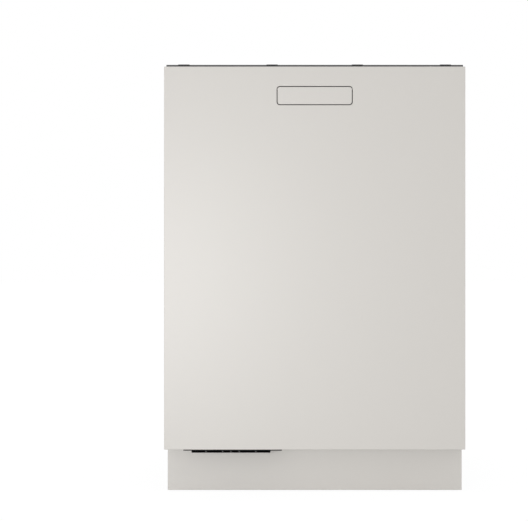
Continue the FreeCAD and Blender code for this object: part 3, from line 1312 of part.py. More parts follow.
def make_sump():
    """Sump with the post of the lower spray arm, fine filter plate and coarse filter cup."""
    wall = size.sump_wall
    top = base_top
    bottom = top - size.sump_depth
    step = bottom + size.sump_step_height
    half = size.sump_half
    centre = size.sump_back
    post_top = basin_z + size.post_height
    sump = Piece("sump")
    sump.pad("XY", step, top, around_sump(half))
    sump.pad("XY", bottom, step, around_sump(size.sump_floor_half))
    sump.pad("XY", top - size.sump_flange_thickness, top, around_sump(size.sump_flange_half))
    sump.pocket("XY", step + wall, top + size.cut_overrun, around_sump(half - wall))
    sump.pocket("XY", bottom + wall, step + wall * 2, around_sump(size.sump_floor_half - wall))
    sump.pad("XY", bottom, post_top, faceted(zero, centre, size.post_radius, ROUND_SIDES))
    sump.pad("XY", post_top, post_top + size.spigot_height,
             faceted(zero, centre, size.spigot_radius, ROUND_SIDES))

    plate_low = top + size.seat_gap
    plate_top = plate_low + size.filter_thickness
    cup_x = size.coarse_across
    cup_y = centre - size.coarse_forward
    rim = size.filter_half - wall
    plate = Piece("fine_filter")
    plate.pad("XY", plate_low, plate_top + size.filter_dish, around_sump(size.filter_half))
    plate.pocket("XY", plate_top, plate_top + size.filter_dish + size.cut_overrun, around_sump(rim))
    plate.pocket("XY", plate_low - size.cut_overrun, plate_top + size.cut_overrun,
                 faceted_hole(zero, centre, size.post_radius + size.post_room, ROUND_SIDES),
                 faceted_hole(cup_x, cup_y, size.coarse_radius + size.coarse_room, ROUND_SIDES))

    cup_low = plate_low - size.coarse_length
    flange_low = plate_top + size.seat_gap
    flange_top = flange_low + size.coarse_wall
    radius = size.coarse_radius
    inner = radius - size.coarse_wall
    cup = Piece("coarse_filter")
    cup.pad("XY", cup_low, flange_top, faceted(cup_x, cup_y, radius, ROUND_SIDES))
    cup.pad("XY", flange_low, flange_top, faceted(cup_x, cup_y, radius + size.coarse_flange, ROUND_SIDES))
    cup.pocket("XY", cup_low + size.coarse_wall, flange_top + size.cut_overrun,
               faceted(cup_x, cup_y, inner, ROUND_SIDES))
    bar = size.grip_thickness / 2
    cup.pad("XY", flange_low, flange_top + size.coarse_grip_height,
            rectangle(cup_x - inner - bar, cup_x + inner + bar, cup_y - bar, cup_y + bar))


def make_pumps():
    """Circulation pump, drain pump with its outlet spigot, and the inlet valve."""
    y = size.sump_back
    z = size.pump_centre_height
    start = size.sump_half + size.seat_gap
    volute = start + size.pump_inlet_length
    motor = volute + size.volute_length
    end = motor + size.pump_length
    pump = Piece("circulation_pump")
    pump.wire("X", start, volute, y, z, size.pump_inlet_radius, ROUND_SIDES)
    pump.wire("X", volute, motor, y, z, size.volute_radius, ROUND_SIDES)
    pump.wire("X", motor, end, y, z, size.pump_radius, ROUND_SIDES)
    pump.wire("X", end, end + size.motor_step, y, z, size.pump_radius - size.motor_step, ROUND_SIDES)

    duct_x = drain_axis_x()
    duct = size.drain_duct / 2
    head_start = duct_x - size.drain_head_length / 2
    head = duct_x + size.drain_head_length / 2
    tail = head + size.drain_length
    outlet = size.base_back - size.base_wall - size.cut_overrun
    drain = Piece("drain_pump")
    drain.wire("X", -head_start, -start, y, z, size.drain_inlet_radius, SMALL_SIDES)
    drain.wire("X", -head, -head_start, y, z, size.drain_head_radius, ROUND_SIDES)
    drain.wire("X", -tail, -head, y, z, size.drain_radius, ROUND_SIDES)
    drain.pad("XZ", y, outlet, rectangle(-duct_x - duct, -duct_x + duct, z - duct, z + duct))
    drain.pad("XZ", outlet, size.drain_spigot_end, circle(-duct_x, z, size.drain_spigot_radius))

    x = size.valve_along
    z = size.valve_centre_height
    block_back = size.base_back - size.base_wall - size.seat_gap
    block_front = block_back - size.valve_length
    half = size.valve_width / 2
    rise = size.valve_height / 2
    coil_y = (block_front + block_back) / 2
    valve = Piece("inlet_valve")
    valve.pad("XZ", block_front, block_back, rectangle(x - half, x + half, z - rise, z + rise))
    valve.pad("XZ", block_back, size.valve_thread_end, circle(x, z, size.valve_thread_radius))
    valve.pocket("XZ", size.base_back, size.valve_thread_end + size.cut_overrun,
                 faceted(x, z, size.drain_spigot_radius, ROUND_SIDES))
    valve.pad("XY", z + rise, z + rise + size.valve_coil_height,
              faceted(x, coil_y, size.valve_coil_radius, ROUND_SIDES))


def make_softener():
    """Softener tank with its salt cap, and the water chamber beside the tub."""
    x = -size.salt_left
    y = size.salt_back
    half = size.salt_tank_width / 2
    deep = size.salt_tank_depth / 2
    tank_top = base_top - size.salt_tank_headroom
    neck = size.salt_hole_radius - size.seat_gap
    bore = neck - size.salt_neck_wall
    rim = basin_z + size.tub_sheet
    tank = Piece("salt_tank")
    tank.pad("XY", size.salt_tank_bottom, tank_top,
             chamfered(x - half, x + half, y - deep, y + deep, size.salt_tank_round))
    tank.pad("XY", tank_top, rim, faceted(x, y, neck, ROUND_SIDES))
    tank.pocket("XY", rim - size.salt_neck_depth, rim + size.cut_overrun,
                faceted_hole(x, y, bore, ROUND_SIDES))

    low = rim + size.seat_gap
    high = low + size.salt_cap_height
    plug = bore - size.salt_plug_clearance
    bar = size.grip_thickness / 2
    cap = Piece("salt_cap")
    cap.pad("XY", low - size.salt_plug_depth, low, faceted(x, y, plug, ROUND_SIDES))
    cap.pad("XY", low, high, faceted(x, y, size.salt_cap_radius, ROUND_SIDES))
    cap.pad("XY", high, high + size.grip_height,
            rectangle(x - plug, x + plug, y - bar, y + bar))

    inner = tub_half + size.tub_sheet + size.seat_gap
    outer = inner + size.chamber_thickness
    front = size.chamber_front
    back = front + size.chamber_length
    bottom = size.chamber_bottom
    top = bottom + size.chamber_height
    pitch = size.chamber_length / (size.chamber_groove_count + 1)
    groove = size.chamber_groove
    chamber = Piece("inlet_chamber")
    chamber.pad("YZ", -outer, -inner, chamfered(front, back, bottom, top, size.salt_tank_round))
    cut = chamber.pocket("YZ", -outer - size.cut_overrun, -outer + size.chamber_groove_depth,
                         rectangle(front + pitch - groove / 2, front + pitch + groove / 2,
                                   bottom + pitch, top - pitch))
    chamber.repeat(cut, "Y", pitch * (size.chamber_groove_count - 1), size.chamber_groove_count)


def make_feed_pipe():
    """Riser up the back of the tub with the ceiling duct, the rack's docking port and the delivery duct."""
    half = size.feed_width / 2
    gap = size.seat_gap
    back = tub_back - gap
    front = back - size.feed_thickness
    top = tub_ceiling - gap
    under = top - size.feed_ceiling
    low = basin_z + gap
    centre = size.sump_back
    neck_y = tub_back - size.feed_neck_radius * 2
    dock_z = upper_floor - gap - size.upper_feed_height / 2
    dock = size.dock_half
    corner = size.tub_round
    pipe = Piece("feed_pipe")
    pipe.pad("YZ", -half, half,
             outline((neck_y - size.feed_neck_radius, low), (back, low), (back, top - corner),
                     (back - corner, top), (centre - half, top), (centre - half, under), (front, under),
                     (front, dock_z + dock), (front - size.dock_length, dock_z + dock),
                     (front - size.dock_length, dock_z - dock), (front, dock_z - dock),
                     (front, low + size.feed_width),
                     (neck_y - size.feed_neck_radius, low + size.feed_width / 2)))
    pipe.pad("XY", under - size.spigot_height, under + size.cut_overrun,
             faceted(zero, centre, size.spigot_radius, ROUND_SIDES))
    pipe.pad("XY", size.feed_neck_bottom, low + size.cut_overrun,
             faceted(zero, neck_y, size.feed_neck_radius, SMALL_SIDES))
    duct = size.feed_duct
    duct_low = size.feed_neck_bottom
    pump_x = size.sump_half + gap + size.pump_inlet_length + size.volute_length / 2
    start = size.sump_back + size.volute_radius
    pipe.pad("XY", duct_low, duct_low + duct,
             outline((-duct / 2, neck_y - duct / 2), (pump_x - duct / 2, neck_y - duct / 2),
                     (pump_x - duct / 2, start), (pump_x + duct / 2, start),
                     (pump_x + duct / 2, neck_y + duct / 2), (-duct / 2, neck_y + duct / 2)))


def make_spray_arm(label, floor, radius, count, hub_down, nozzle_side):
    """A two-bladed spray arm: hub_down tells on which side its hub stands out."""
    centre = size.sump_back
    root = size.arm_root
    tip = size.arm_tip
    sweep = size.arm_sweep
    top = floor + size.arm_thickness
    arm = Piece(label)
    cut = size.arm_round
    lean = cut * (root - tip) / radius
    arm.pad("XY", floor, top,
            outline((-radius + cut, centre - tip - sweep - lean), (-root, centre - root),
                    (root, centre - root),
                    (radius - cut, centre - tip + sweep), (radius, centre - tip + sweep + cut),
                    (radius, centre + tip + sweep - cut), (radius - cut, centre + tip + sweep + lean),
                    (root, centre + root), (-root, centre + root), (-radius + cut, centre + tip - sweep),
                    (-radius, centre + tip - sweep - cut), (-radius, centre - tip - sweep + cut)))
    hub_low = floor - (size.hub_height - size.arm_thickness) if hub_down else floor
    arm.pad("XY", hub_low, hub_low + size.hub_height, faceted(zero, centre, size.hub_radius, ROUND_SIDES))
    bore = size.spigot_radius + size.spigot_clearance
    depth = size.spigot_height + size.seat_gap
    if hub_down:
        arm.pocket("XY", hub_low - size.cut_overrun, hub_low + depth,
                   faceted_hole(zero, centre, bore, ROUND_SIDES))
    else:
        hub_top = hub_low + size.hub_height
        arm.pocket("XY", hub_top - depth, hub_top + size.cut_overrun,
                   faceted_hole(zero, centre, bore, ROUND_SIDES))
    step = (radius - size.nozzle_start - size.nozzle_length * 2) / (count - 1)
    slot = size.nozzle_width / 2
    start = size.nozzle_start
    depth = (top - size.nozzle_depth, top + size.cut_overrun)
    if not nozzle_side:
        depth = (floor - size.cut_overrun, floor + size.nozzle_depth)
    first = arm.pocket("XY", *depth,
                       rectangle(start, start + size.nozzle_length, centre - slot, centre + slot))
    arm.repeat(first, "X", step * (count - 1), count)
    other = arm.pocket("XY", *depth,
                       rectangle(-radius + size.nozzle_length, -radius + size.nozzle_length * 2,
                                 centre - slot - sweep / 2, centre + slot - sweep / 2))
    arm.repeat(other, "X", step * (count - 1), count)


def make_spray_arms():
    """Lower, upper and top spray arms, and the duct that feeds the upper one below its rack."""
    make_spray_arm("lower_spray_arm", arm_floor + size.hub_height - size.arm_thickness, size.arm_radius,
                   size.nozzle_count, True, True)
    feed_top = upper_floor - size.seat_gap
    feed_low = feed_top - size.upper_feed_height
    arm_top = feed_low - size.seat_gap
    make_spray_arm("upper_spray_arm", arm_top - size.hub_height, size.upper_arm_radius, size.nozzle_count,
                   False, True)
    ceiling = tub_ceiling - size.seat_gap - size.feed_ceiling
    make_spray_arm("top_spray_arm", ceiling - size.seat_gap - size.hub_height, size.top_arm_radius,
                   size.top_nozzle_count, False, False)
    half = size.upper_feed_width / 2
    centre = size.sump_back
    dock = tub_back - size.seat_gap - size.feed_thickness - size.dock_length - size.seat_gap
    feed = Piece("upper_arm_feed")
    feed.pad("XY", feed_low, feed_top,
             outline((-half, centre), (-half / 2, centre - half), (half / 2, centre - half), (half, centre),
                     (half, dock), (-half, dock)))
    feed.pad("XY", feed_low - size.spigot_height, feed_low + size.cut_overrun,
             faceted(zero, centre, size.spigot_radius, ROUND_SIDES))


def make_basket(rack, half, front, back, low, high, along_count, across_count):
    """A rack's floor with four walls of upright wires, each held by a rim, that stand on the floor's rims."""
    rim = size.rim_radius
    thin = size.wire_radius
    step = thin + size.wire_gap / 2
    level = low + step + thin
    left = -half + rim
    right = half - rim
    near = front + rim
    far = back - rim
    for y in (near, far):
        rack.wire("X", left, right, y, level, rim, WIRE_SIDES)
    for x in (left, right):
        rack.wire("Y", near, far, x, level, rim, WIRE_SIDES)
    pitch = (right - left) / (along_count + 1)
    first = rack.wire("Y", near, far, left + pitch, level + step, thin, WIRE_SIDES)
    rack.repeat(first, "X", pitch * (along_count - 1), along_count)
    pitch = (far - near) / (across_count + 1)
    first = rack.wire("X", left, right, near + pitch, level - step, thin, WIRE_SIDES)
    rack.repeat(first, "Y", pitch * (across_count - 1), across_count)
    foot = level + rim + size.seat_gap
    top = high - rim
    inset = rim * 2 + size.seat_gap
    pitch = (right - left - inset * 2) / along_count
    for y in (near, far):
        rack.wire("X", left + inset, right - inset, y, top, rim, WIRE_SIDES)
        first = rack.wire("Z", foot, top, left + inset + pitch / 2, y, thin, WIRE_SIDES)
        rack.repeat(first, "X", pitch * (along_count - 1), along_count)
    pitch = (far - near - inset * 2) / across_count
    for x in (left, right):
        rack.wire("Y", near + inset, far - inset, x, top, rim, WIRE_SIDES)
        first = rack.wire("Z", foot, top, x, near + inset + pitch / 2, thin, WIRE_SIDES)
        rack.repeat(first, "Y", pitch * (across_count - 1), across_count)


def make_tine_row(rack, half, y, low, height):
    """A rod across the floor of a rack with a row of upright tines."""
    reach = half - size.rim_radius * 3
    rod = size.wire_radius
    level = low + size.wire_radius * 5 + size.wire_gap * 2
    pitch = reach * 2 / (size.tine_count + 1)
    rack.wire("X", -reach, reach, y, level, rod, WIRE_SIDES)
    first = rack.wire("Z", level, level + height, -reach + pitch, y, size.tine_radius, WIRE_SIDES)
    rack.repeat(first, "X", pitch * (size.tine_count - 1), size.tine_count)


def make_lower_rack():
    """Lower rack with fixed and folding tines, its wheel brackets and its two pairs of wheels."""
    half = lower_rack_half
    front = size.lower_rack_front
    low = rack_floor
    rack = Piece("lower_rack")
    make_basket(rack, half, front, front + size.lower_rack_length, low, low + size.lower_rack_height,
                size.floor_wire_count, size.cross_wire_count)
    rows = [front + size.first_tine_row + size.tine_row_step * k for k in range(4)]
    folding = Piece("folding_tines")
    for k, y in enumerate(rows):
        make_tine_row(folding if k == 1 else rack, half, y, low, size.tine_height)
    inner = half + size.seat_gap
    outer = inner + size.bracket_thickness
    end = outer + size.wheel_room + size.wheel_width
    axle_z = ledge_z + size.seat_gap + size.wheel_radius
    axle = size.axle_radius
    width = size.bracket_width / 2
    top = low + size.rim_radius * 4
    for y in (front + size.front_wheel_set, front + size.rear_wheel_set):
        plate = rack.pad("YZ", inner, outer, rectangle(y - width, y + width, axle_z - axle * 2, top))
        pin = rack.wire("X", outer, end, y, axle_z, axle, RIM_SIDES)
        rack.mirror(plate, pin)
    make_wheel_pair("lower_front_wheels", front + size.front_wheel_set)
    make_wheel_pair("lower_rear_wheels", front + size.rear_wheel_set)


def make_wheel_pair(name, y):
    """Two wheels on one axis, one at each side of the rack."""
    inner = lower_rack_half + size.seat_gap + size.bracket_thickness + size.wheel_room
    outer = inner + size.wheel_width
    axle_z = ledge_z + size.seat_gap + size.wheel_radius
    bore = size.axle_radius + size.wheel_bore_clearance
    wheels = Piece(name)
    wheel = wheels.pad("YZ", inner, outer, faceted(y, axle_z, size.wheel_radius, WHEEL_SIDES),
                       faceted_hole(y, axle_z, bore, SMALL_SIDES))
    wheels.mirror(wheel)


def make_upper_rack():
    """Upper rack with cup tines and rail clips, its folding cup shelf and its telescopic rails."""
    half = upper_rack_half
    front = size.upper_rack_front
    back = front + size.upper_rack_length
    low = upper_floor
    rack = Piece("upper_rack")
    make_basket(rack, half, front, back, low, low + size.upper_rack_height, size.floor_wire_count,
                size.cross_wire_count)
    for k in range(3):
        y = front + size.upper_first_row + size.upper_tine_step * k
        make_tine_row(rack, half, y, low, size.upper_tine_height)
    start = half + size.seat_gap
    end = rail_web - size.seat_gap
    rise = size.clip_height / 2
    for y in (front + size.clip_set, back - size.clip_set - size.clip_width):
        clip = rack.pad("YZ", start, end, rectangle(y, y + size.clip_width, rail_z - rise, rail_z + rise))
        rack.mirror(clip)
    make_rails()
    make_cup_shelf()


def make_rails():
    """Telescopic rails of the upper rack: fixed channel, running bar and the channel on the rack."""
    sheet = size.rail_sheet
    tall = size.rail_half_height
    lip = size.rail_lip
    front = size.upper_rack_front
    back = front + size.rail_length
    wall = tub_half - size.rail_wall_room
    web = rail_web
    outer = Piece("upper_rail_outer")
    channel = outer.pad("XZ", front, back,
                        outline((wall - lip, rail_z - tall), (wall, rail_z - tall), (wall, rail_z + tall),
                                (wall - lip, rail_z + tall), (wall - lip, rail_z + tall - sheet),
                                (wall - sheet, rail_z + tall - sheet), (wall - sheet, rail_z - tall + sheet),
                                (wall - lip, rail_z - tall + sheet)))
    outer.mirror(channel)

    bar_half = tall - sheet - size.seat_gap
    inner_face = web + sheet + size.rail_bar_room
    outer_face = wall - sheet - size.rail_bar_room
    waist = (inner_face + outer_face) / 2
    notch = sheet * 2
    middle = Piece("upper_rail_middle")
    bar = middle.pad("XZ", front, back,
                     outline((inner_face, rail_z - bar_half), (waist - notch / 2, rail_z - bar_half),
                             (waist - notch / 2, rail_z - bar_half + notch),
                             (waist + notch / 2, rail_z - bar_half + notch),
                             (waist + notch / 2, rail_z - bar_half), (outer_face, rail_z - bar_half),
                             (outer_face, rail_z + bar_half), (waist + notch / 2, rail_z + bar_half),
                             (waist + notch / 2, rail_z + bar_half - notch),
                             (waist - notch / 2, rail_z + bar_half - notch),
                             (waist - notch / 2, rail_z + bar_half), (inner_face, rail_z + bar_half)))
    middle.mirror(bar)

    inner = Piece("upper_rail_inner")
    runner = inner.pad("XZ", front, back,
                       outline((web, rail_z - tall), (web + lip, rail_z - tall),
                               (web + lip, rail_z - tall + sheet), (web + sheet, rail_z - tall + sheet),
                               (web + sheet, rail_z + tall - sheet), (web + lip, rail_z + tall - sheet),
                               (web + lip, rail_z + tall), (web, rail_z + tall)))
    inner.mirror(runner)


def make_cup_shelf():
    """Slotted cup shelf that folds up about its edge at the left side of the upper rack."""
    left = -upper_rack_half + size.rim_radius * 2 + size.shelf_hinge_radius + size.seat_gap
    top = upper_floor + size.upper_rack_height - size.shelf_drop
    middle = size.upper_rack_front + size.upper_rack_length / 2
    front = middle - size.shelf_length / 2
    back = middle + size.shelf_length / 2
    thick = size.shelf_thickness
    rim = size.shelf_rim
    shelf = Piece("cup_shelf")
    shelf.pad("XY", top - thick, top, rectangle(left, left + size.shelf_width, front, back))
    shelf.wire("Y", front, back, left, top - thick / 2, size.shelf_hinge_radius, SMALL_SIDES)
    pitch = (size.shelf_length - rim * 2 + rim / 2) / size.shelf_slot_count
    slot = shelf.pocket("XY", top - thick - size.cut_overrun, top + size.cut_overrun,
                        rectangle(left + rim, left + size.shelf_width - rim, front + rim,
                                  front + rim + size.shelf_slot_length))
    shelf.repeat(slot, "Y", pitch * (size.shelf_slot_count - 1), size.shelf_slot_count)


def make_cutlery_tray():
    """Shallow wire tray with its two runners, and the channels that carry them."""
    half = tub_half - size.tray_room
    front = size.tray_front
    back = front + size.tray_length
    sheet = size.rail_sheet
    tall = size.tray_rail_half
    z = tray_rail_z
    wall = tub_half - size.rail_wall_room
    tray = Piece("cutlery_tray")
    make_basket(tray, half, front, back, tray_floor, tray_floor + size.tray_height, size.tray_along_count,
                size.tray_cross_count)
    bar = tall - sheet - size.seat_gap
    runner = tray.pad("XZ", front, back, rectangle(half + size.seat_gap, wall - sheet - size.rail_bar_room,
                                                   z - bar, z + bar))
    tray.mirror(runner)
    lip = size.tray_rail_lip
    rails = Piece("tray_rail_outer")
    channel = rails.pad("XZ", front, back,
                        outline((wall - lip, z - tall), (wall, z - tall), (wall, z + tall),
                                (wall - lip, z + tall), (wall - lip, z + tall - sheet),
                                (wall - sheet, z + tall - sheet),
                                (wall - sheet, z - tall + sheet), (wall - lip, z - tall + sheet)))
    rails.mirror(channel)


def check_document():
    """Stops if any object failed or any sub-part is not a sound solid."""
    doc.recompute()
    for thing in doc.Objects:
        if {"Invalid", "Error"} & set(thing.State):
            raise RuntimeError(f"{thing.Name} failed: {thing.State}")
    sub_parts = [thing for thing in doc.Objects if thing.TypeId == "PartDesign::Body"]
    for thing in sub_parts:
        shape = thing.Shape
        if shape.isNull() or not shape.isValid() or not shape.Solids:
            raise RuntimeError(f"{thing.Label} has no sound solid")
    return sub_parts


def main():
    for make in (make_front_panel, make_handle, make_inner_door, make_bottom_seal, make_controls, make_latch,
                 make_dispenser, make_vent, make_hinges, make_tub, make_cabinet, make_plinth, make_base,
                 make_feet, make_sump, make_pumps, make_softener, make_feed_pipe, make_spray_arms,
                 make_lower_rack, make_upper_rack, make_cutlery_tray):
        make()
    os.makedirs(OUTPUT_FOLDER, exist_ok=True)
    for thing in check_document():
        thing.Shape.exportStep(os.path.join(OUTPUT_FOLDER, f"{thing.Label}.step"))


main()
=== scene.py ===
"""The looks of a built-under dishwasher: lacquered door, steel tub, wire racks and the wash system.

All sizes are in metres in the part's own frame: +Z is up, the door faces -Y and the floor is at zero.
"""

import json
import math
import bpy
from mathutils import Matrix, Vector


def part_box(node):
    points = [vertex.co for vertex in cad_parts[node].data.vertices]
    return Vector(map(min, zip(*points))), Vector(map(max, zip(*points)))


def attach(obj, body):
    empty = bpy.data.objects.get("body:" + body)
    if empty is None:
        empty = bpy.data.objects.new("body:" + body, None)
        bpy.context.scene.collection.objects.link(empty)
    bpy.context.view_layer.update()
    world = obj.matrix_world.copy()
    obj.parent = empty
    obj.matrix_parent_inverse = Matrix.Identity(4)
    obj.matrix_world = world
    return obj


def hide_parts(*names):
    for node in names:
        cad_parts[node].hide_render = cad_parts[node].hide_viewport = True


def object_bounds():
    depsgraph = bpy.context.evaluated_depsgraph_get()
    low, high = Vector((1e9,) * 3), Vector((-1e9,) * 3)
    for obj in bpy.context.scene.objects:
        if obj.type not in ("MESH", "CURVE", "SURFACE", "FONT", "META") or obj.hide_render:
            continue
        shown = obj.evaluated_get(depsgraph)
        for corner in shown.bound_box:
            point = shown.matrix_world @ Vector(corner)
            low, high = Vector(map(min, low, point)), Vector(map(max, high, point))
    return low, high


bl_info = {
    "name": "Dishwasher looks",
    "version": (1, 0, 0),
    "blender": (4, 5, 0),
    "location": "3D View > Sidebar > Dishwasher",
    "description": "Builds the finished pieces of a built-under dishwasher round its fixed frame",
    "category": "Object",
}

import bmesh
import bpy
from mathutils import Matrix, Vector, noise

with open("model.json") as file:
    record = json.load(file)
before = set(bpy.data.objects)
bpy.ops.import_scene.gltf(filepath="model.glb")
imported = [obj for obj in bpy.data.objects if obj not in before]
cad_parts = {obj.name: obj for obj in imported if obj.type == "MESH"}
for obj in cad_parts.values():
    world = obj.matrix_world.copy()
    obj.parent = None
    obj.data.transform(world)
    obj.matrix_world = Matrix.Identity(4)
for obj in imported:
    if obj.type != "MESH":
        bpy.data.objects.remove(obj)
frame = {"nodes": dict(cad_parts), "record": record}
cad_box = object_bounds()
slot_colours = {entry["slot"]: tuple(entry["base_color"][:3]) for entry in frame["record"]["materials"]}
MM = 0.001
FACE = cad_box[0][1]

# Edges that turn by fewer degrees than this are shaded as one smooth face.
CRISP_ANGLE = 38
# Points that are closer than this are one point.
SAME_POINT = 1e-6
# The lower rack's two pairs of wheels and the spray arms' axis, in millimetres behind the door's face.
FRONT_AXLE, REAR_AXLE = 192, 442
ARM_AXIS = 298
# Height of the wheel axles over the floor.
AXLE_LEVEL = 0.1623


def behind(distance):
    """A place on the Y axis, given in millimetres behind the face of the door."""
    return FACE + distance * MM


# Settings


class DishwasherLook(bpy.types.PropertyGroup):
    """Sizes and colours that change the look and not the build of the machine"""

    door_colour: bpy.props.FloatVectorProperty(
        name="Door colour", description="Lacquer of the door and the plinth", subtype="COLOR", size=3,
        min=0.0, max=1.0, default=(0.735, 0.708, 0.668))
    door_gloss: bpy.props.FloatProperty(
        name="Lacquer roughness", description="How dull the lacquer is", default=0.42, min=0.05,
        max=1.0)
    flap_gap: bpy.props.FloatProperty(
        name="Flap gap", description="Shadow gap round the handle flap", default=0.0016, unit="LENGTH")
    fold_radius: bpy.props.FloatProperty(
        name="Fold radius", description="Radius where the front folds back", default=0.0012,
        unit="LENGTH")
    edge_radius: bpy.props.FloatProperty(
        name="Edge radius", description="Eased edge of moulded and pressed pieces", default=0.0005,
        unit="LENGTH")
    rack_wire: bpy.props.FloatProperty(
        name="Rack wire", description="Radius of a coated rack wire", default=0.0019, unit="LENGTH")
    rack_rim: bpy.props.FloatProperty(
        name="Rack rim", description="Radius of a rack's rim wire", default=0.0026, unit="LENGTH")
    plate_tine: bpy.props.FloatProperty(
        name="Plate tine", description="Radius of a plate tine", default=0.0016, unit="LENGTH")
    tine_pitch: bpy.props.FloatProperty(
        name="Tine pitch", description="Spacing of the plate tines", default=0.024, unit="LENGTH")
    lamp_power: bpy.props.FloatProperty(
        name="Lamp power", description="Power of the soft lamp at the left", default=15.0, unit="POWER")
    sky_level: bpy.props.FloatProperty(
        name="Room light", description="Strength of the even light all round", default=0.603)


def look():
    """The settings of this file."""
    return bpy.context.scene.dishwasher_look


# Finishes


finishes = {}


def cloud(nodes, links, place, scale, detail):
    """A cloudy pattern with a size and a fineness."""
    pattern = nodes.new("ShaderNodeTexNoise")
    pattern.inputs["Scale"].default_value = scale
    pattern.inputs["Detail"].default_value = detail
    links.new(place, pattern.inputs["Vector"])
    return pattern.outputs["Fac"]


def finish(name, colour, rough, metal=0.0, drift=0.05, patch=9.0, grain=700.0, depth=0.00001,
           stretch=(1, 1, 1), coat=0.0, coat_rough=0.12, uneven=0.06, spangle=0.0):
    """A surface with a slow drift of colour, uneven gloss and a fine grain, kept by its name."""
    if name in finishes:
        return finishes[name]
    material = bpy.data.materials.new(name)
    material.use_nodes = True
    nodes, links = material.node_tree.nodes, material.node_tree.links
    shader = nodes["Principled BSDF"]
    shader.inputs["Metallic"].default_value = metal
    shader.inputs["Coat Weight"].default_value = coat
    shader.inputs["Coat Roughness"].default_value = coat_rough
    place = nodes.new("ShaderNodeTexCoord")
    turn = nodes.new("ShaderNodeMapping")
    turn.inputs["Scale"].default_value = stretch
    links.new(place.outputs["Object"], turn.inputs["Vector"])
    slow = cloud(nodes, links, place.outputs["Object"], patch, 3.0)
    fine = cloud(nodes, links, turn.outputs["Vector"], grain, 4.0)
    mix = nodes.new("ShaderNodeMix")
    mix.data_type = "RGBA"
    links.new(slow, mix.inputs["Factor"])
    mix.inputs["A"].default_value = (*[part * (1 - drift) for part in colour], 1)
    mix.inputs["B"].default_value = (*[min(1.0, part * (1 + drift)) for part in colour], 1)
    paint = mix.outputs["Result"]
    if spangle:
        paint = spangled(nodes, links, place.outputs["Object"], paint, spangle)
    links.new(paint, shader.inputs["Base Color"])
    gloss = nodes.new("ShaderNodeMapRange")
    gloss.inputs["To Min"].default_value = max(0.02, rough - uneven)
    gloss.inputs["To Max"].default_value = min(1.0, rough + uneven)
    links.new(fine, gloss.inputs["Value"])
    links.new(gloss.outputs["Result"], shader.inputs["Roughness"])
    bump = nodes.new("ShaderNodeBump")
    bump.inputs["Strength"].default_value = 1.0
    bump.inputs["Distance"].default_value = depth
    links.new(fine, bump.inputs["Height"])
    links.new(bump.outputs["Normal"], shader.inputs["Normal"])
    finishes[name] = material
    return material


def spangled(nodes, links, place, paint, contrast):
    """A colour broken up into the crystals of galvanised sheet."""
    crystals_per_metre = 130.0
    cells = nodes.new("ShaderNodeTexVoronoi")
    cells.inputs["Scale"].default_value = crystals_per_metre
    links.new(place, cells.inputs["Vector"])
    shade = nodes.new("ShaderNodeMapRange")
    links.new(cells.outputs["Color"], shade.inputs["Value"])
    shade.inputs["To Min"].default_value = 1 - contrast
    shade.inputs["To Max"].default_value = 1 + contrast
    tone = nodes.new("ShaderNodeMix")
    tone.data_type = "RGBA"
    tone.blend_type = "MULTIPLY"
    tone.inputs["Factor"].default_value = 1.0
    links.new(paint, tone.inputs["A"])
    links.new(shade.outputs["Result"], tone.inputs["B"])
    return tone.outputs["Result"]


def perforated(name, colour, pitch, hole):
    """A steel sheet with rows of fine holes, drawn as dark pits: painted shade inside the holes."""
    if name in finishes:
        return finishes[name]
    material = finish(name, colour, 0.3, 1.0, grain=500.0)
    nodes, links = material.node_tree.nodes, material.node_tree.links
    shader = nodes["Principled BSDF"]
    place = nodes["Texture Coordinate"]
    cells = nodes.new("ShaderNodeTexVoronoi")
    cells.inputs["Randomness"].default_value = 0.0
    cells.inputs["Scale"].default_value = 1 / pitch
    links.new(place.outputs["Object"], cells.inputs["Vector"])
    soft_edge = 1.25
    edge = nodes.new("ShaderNodeMapRange")
    edge.inputs["From Min"].default_value = hole
    edge.inputs["From Max"].default_value = hole * soft_edge
    links.new(cells.outputs["Distance"], edge.inputs["Value"])
    pit = nodes.new("ShaderNodeMix")
    pit.data_type = "RGBA"
    links.new(edge.outputs["Result"], pit.inputs["Factor"])
    # Near-black colour of the holes: painted shade.
    pit.inputs["A"].default_value = (0.012, 0.012, 0.013, 1)
    links.new(shader.inputs["Base Color"].links[0].from_socket, pit.inputs["B"])
    links.new(pit.outputs["Result"], shader.inputs["Base Color"])
    links.new(edge.outputs["Result"], shader.inputs["Metallic"])
    return material


def lacquer():
    """Satin lacquer of the door and plinth, with a faint orange peel."""
    gloss = look().door_gloss
    return finish("door_lacquer", look().door_colour, gloss, drift=0.008, patch=3.0, grain=420.0,
                  depth=0.000004, coat=1.0, coat_rough=gloss, uneven=0.03)


def stainless(name="stainless_brushed", stretch=(1, 1, 26)):
    """Brushed stainless steel, its fine lines along one axis."""
    return finish(name, slot_colours["stainless"], 0.27, 1.0, drift=0.03, grain=60.0, depth=0.000006,
                  stretch=stretch, uneven=0.1)


def zinc():
    """Galvanised sheet with its pale spangle."""
    return finish("galvanised_sheet", slot_colours["galvanised"], 0.42, 1.0, grain=260.0,
                  depth=0.000005, spangle=0.12)


def plastic(slot, rough=0.5, grain=900.0, depth=0.00002):
    """A moulded plastic in the colour of its slot."""
    return finish(f"moulded_{slot}", slot_colours[slot], rough, drift=0.06, patch=14.0, grain=grain,
                  depth=depth)


def coated():
    """Smooth grey coating of the rack wires."""
    return finish("rack_coating", slot_colours["rack_coating"], 0.36, drift=0.05, patch=25.0,
                  grain=300.0, depth=0.00001, coat=0.15)


def rubber():
    """Matt black rubber of the seals."""
    return finish("seal_rubber", slot_colours["seal_rubber"], 0.62, drift=0.1, patch=30.0,
                  grain=1200.0, depth=0.00002)


# Making and dressing pieces


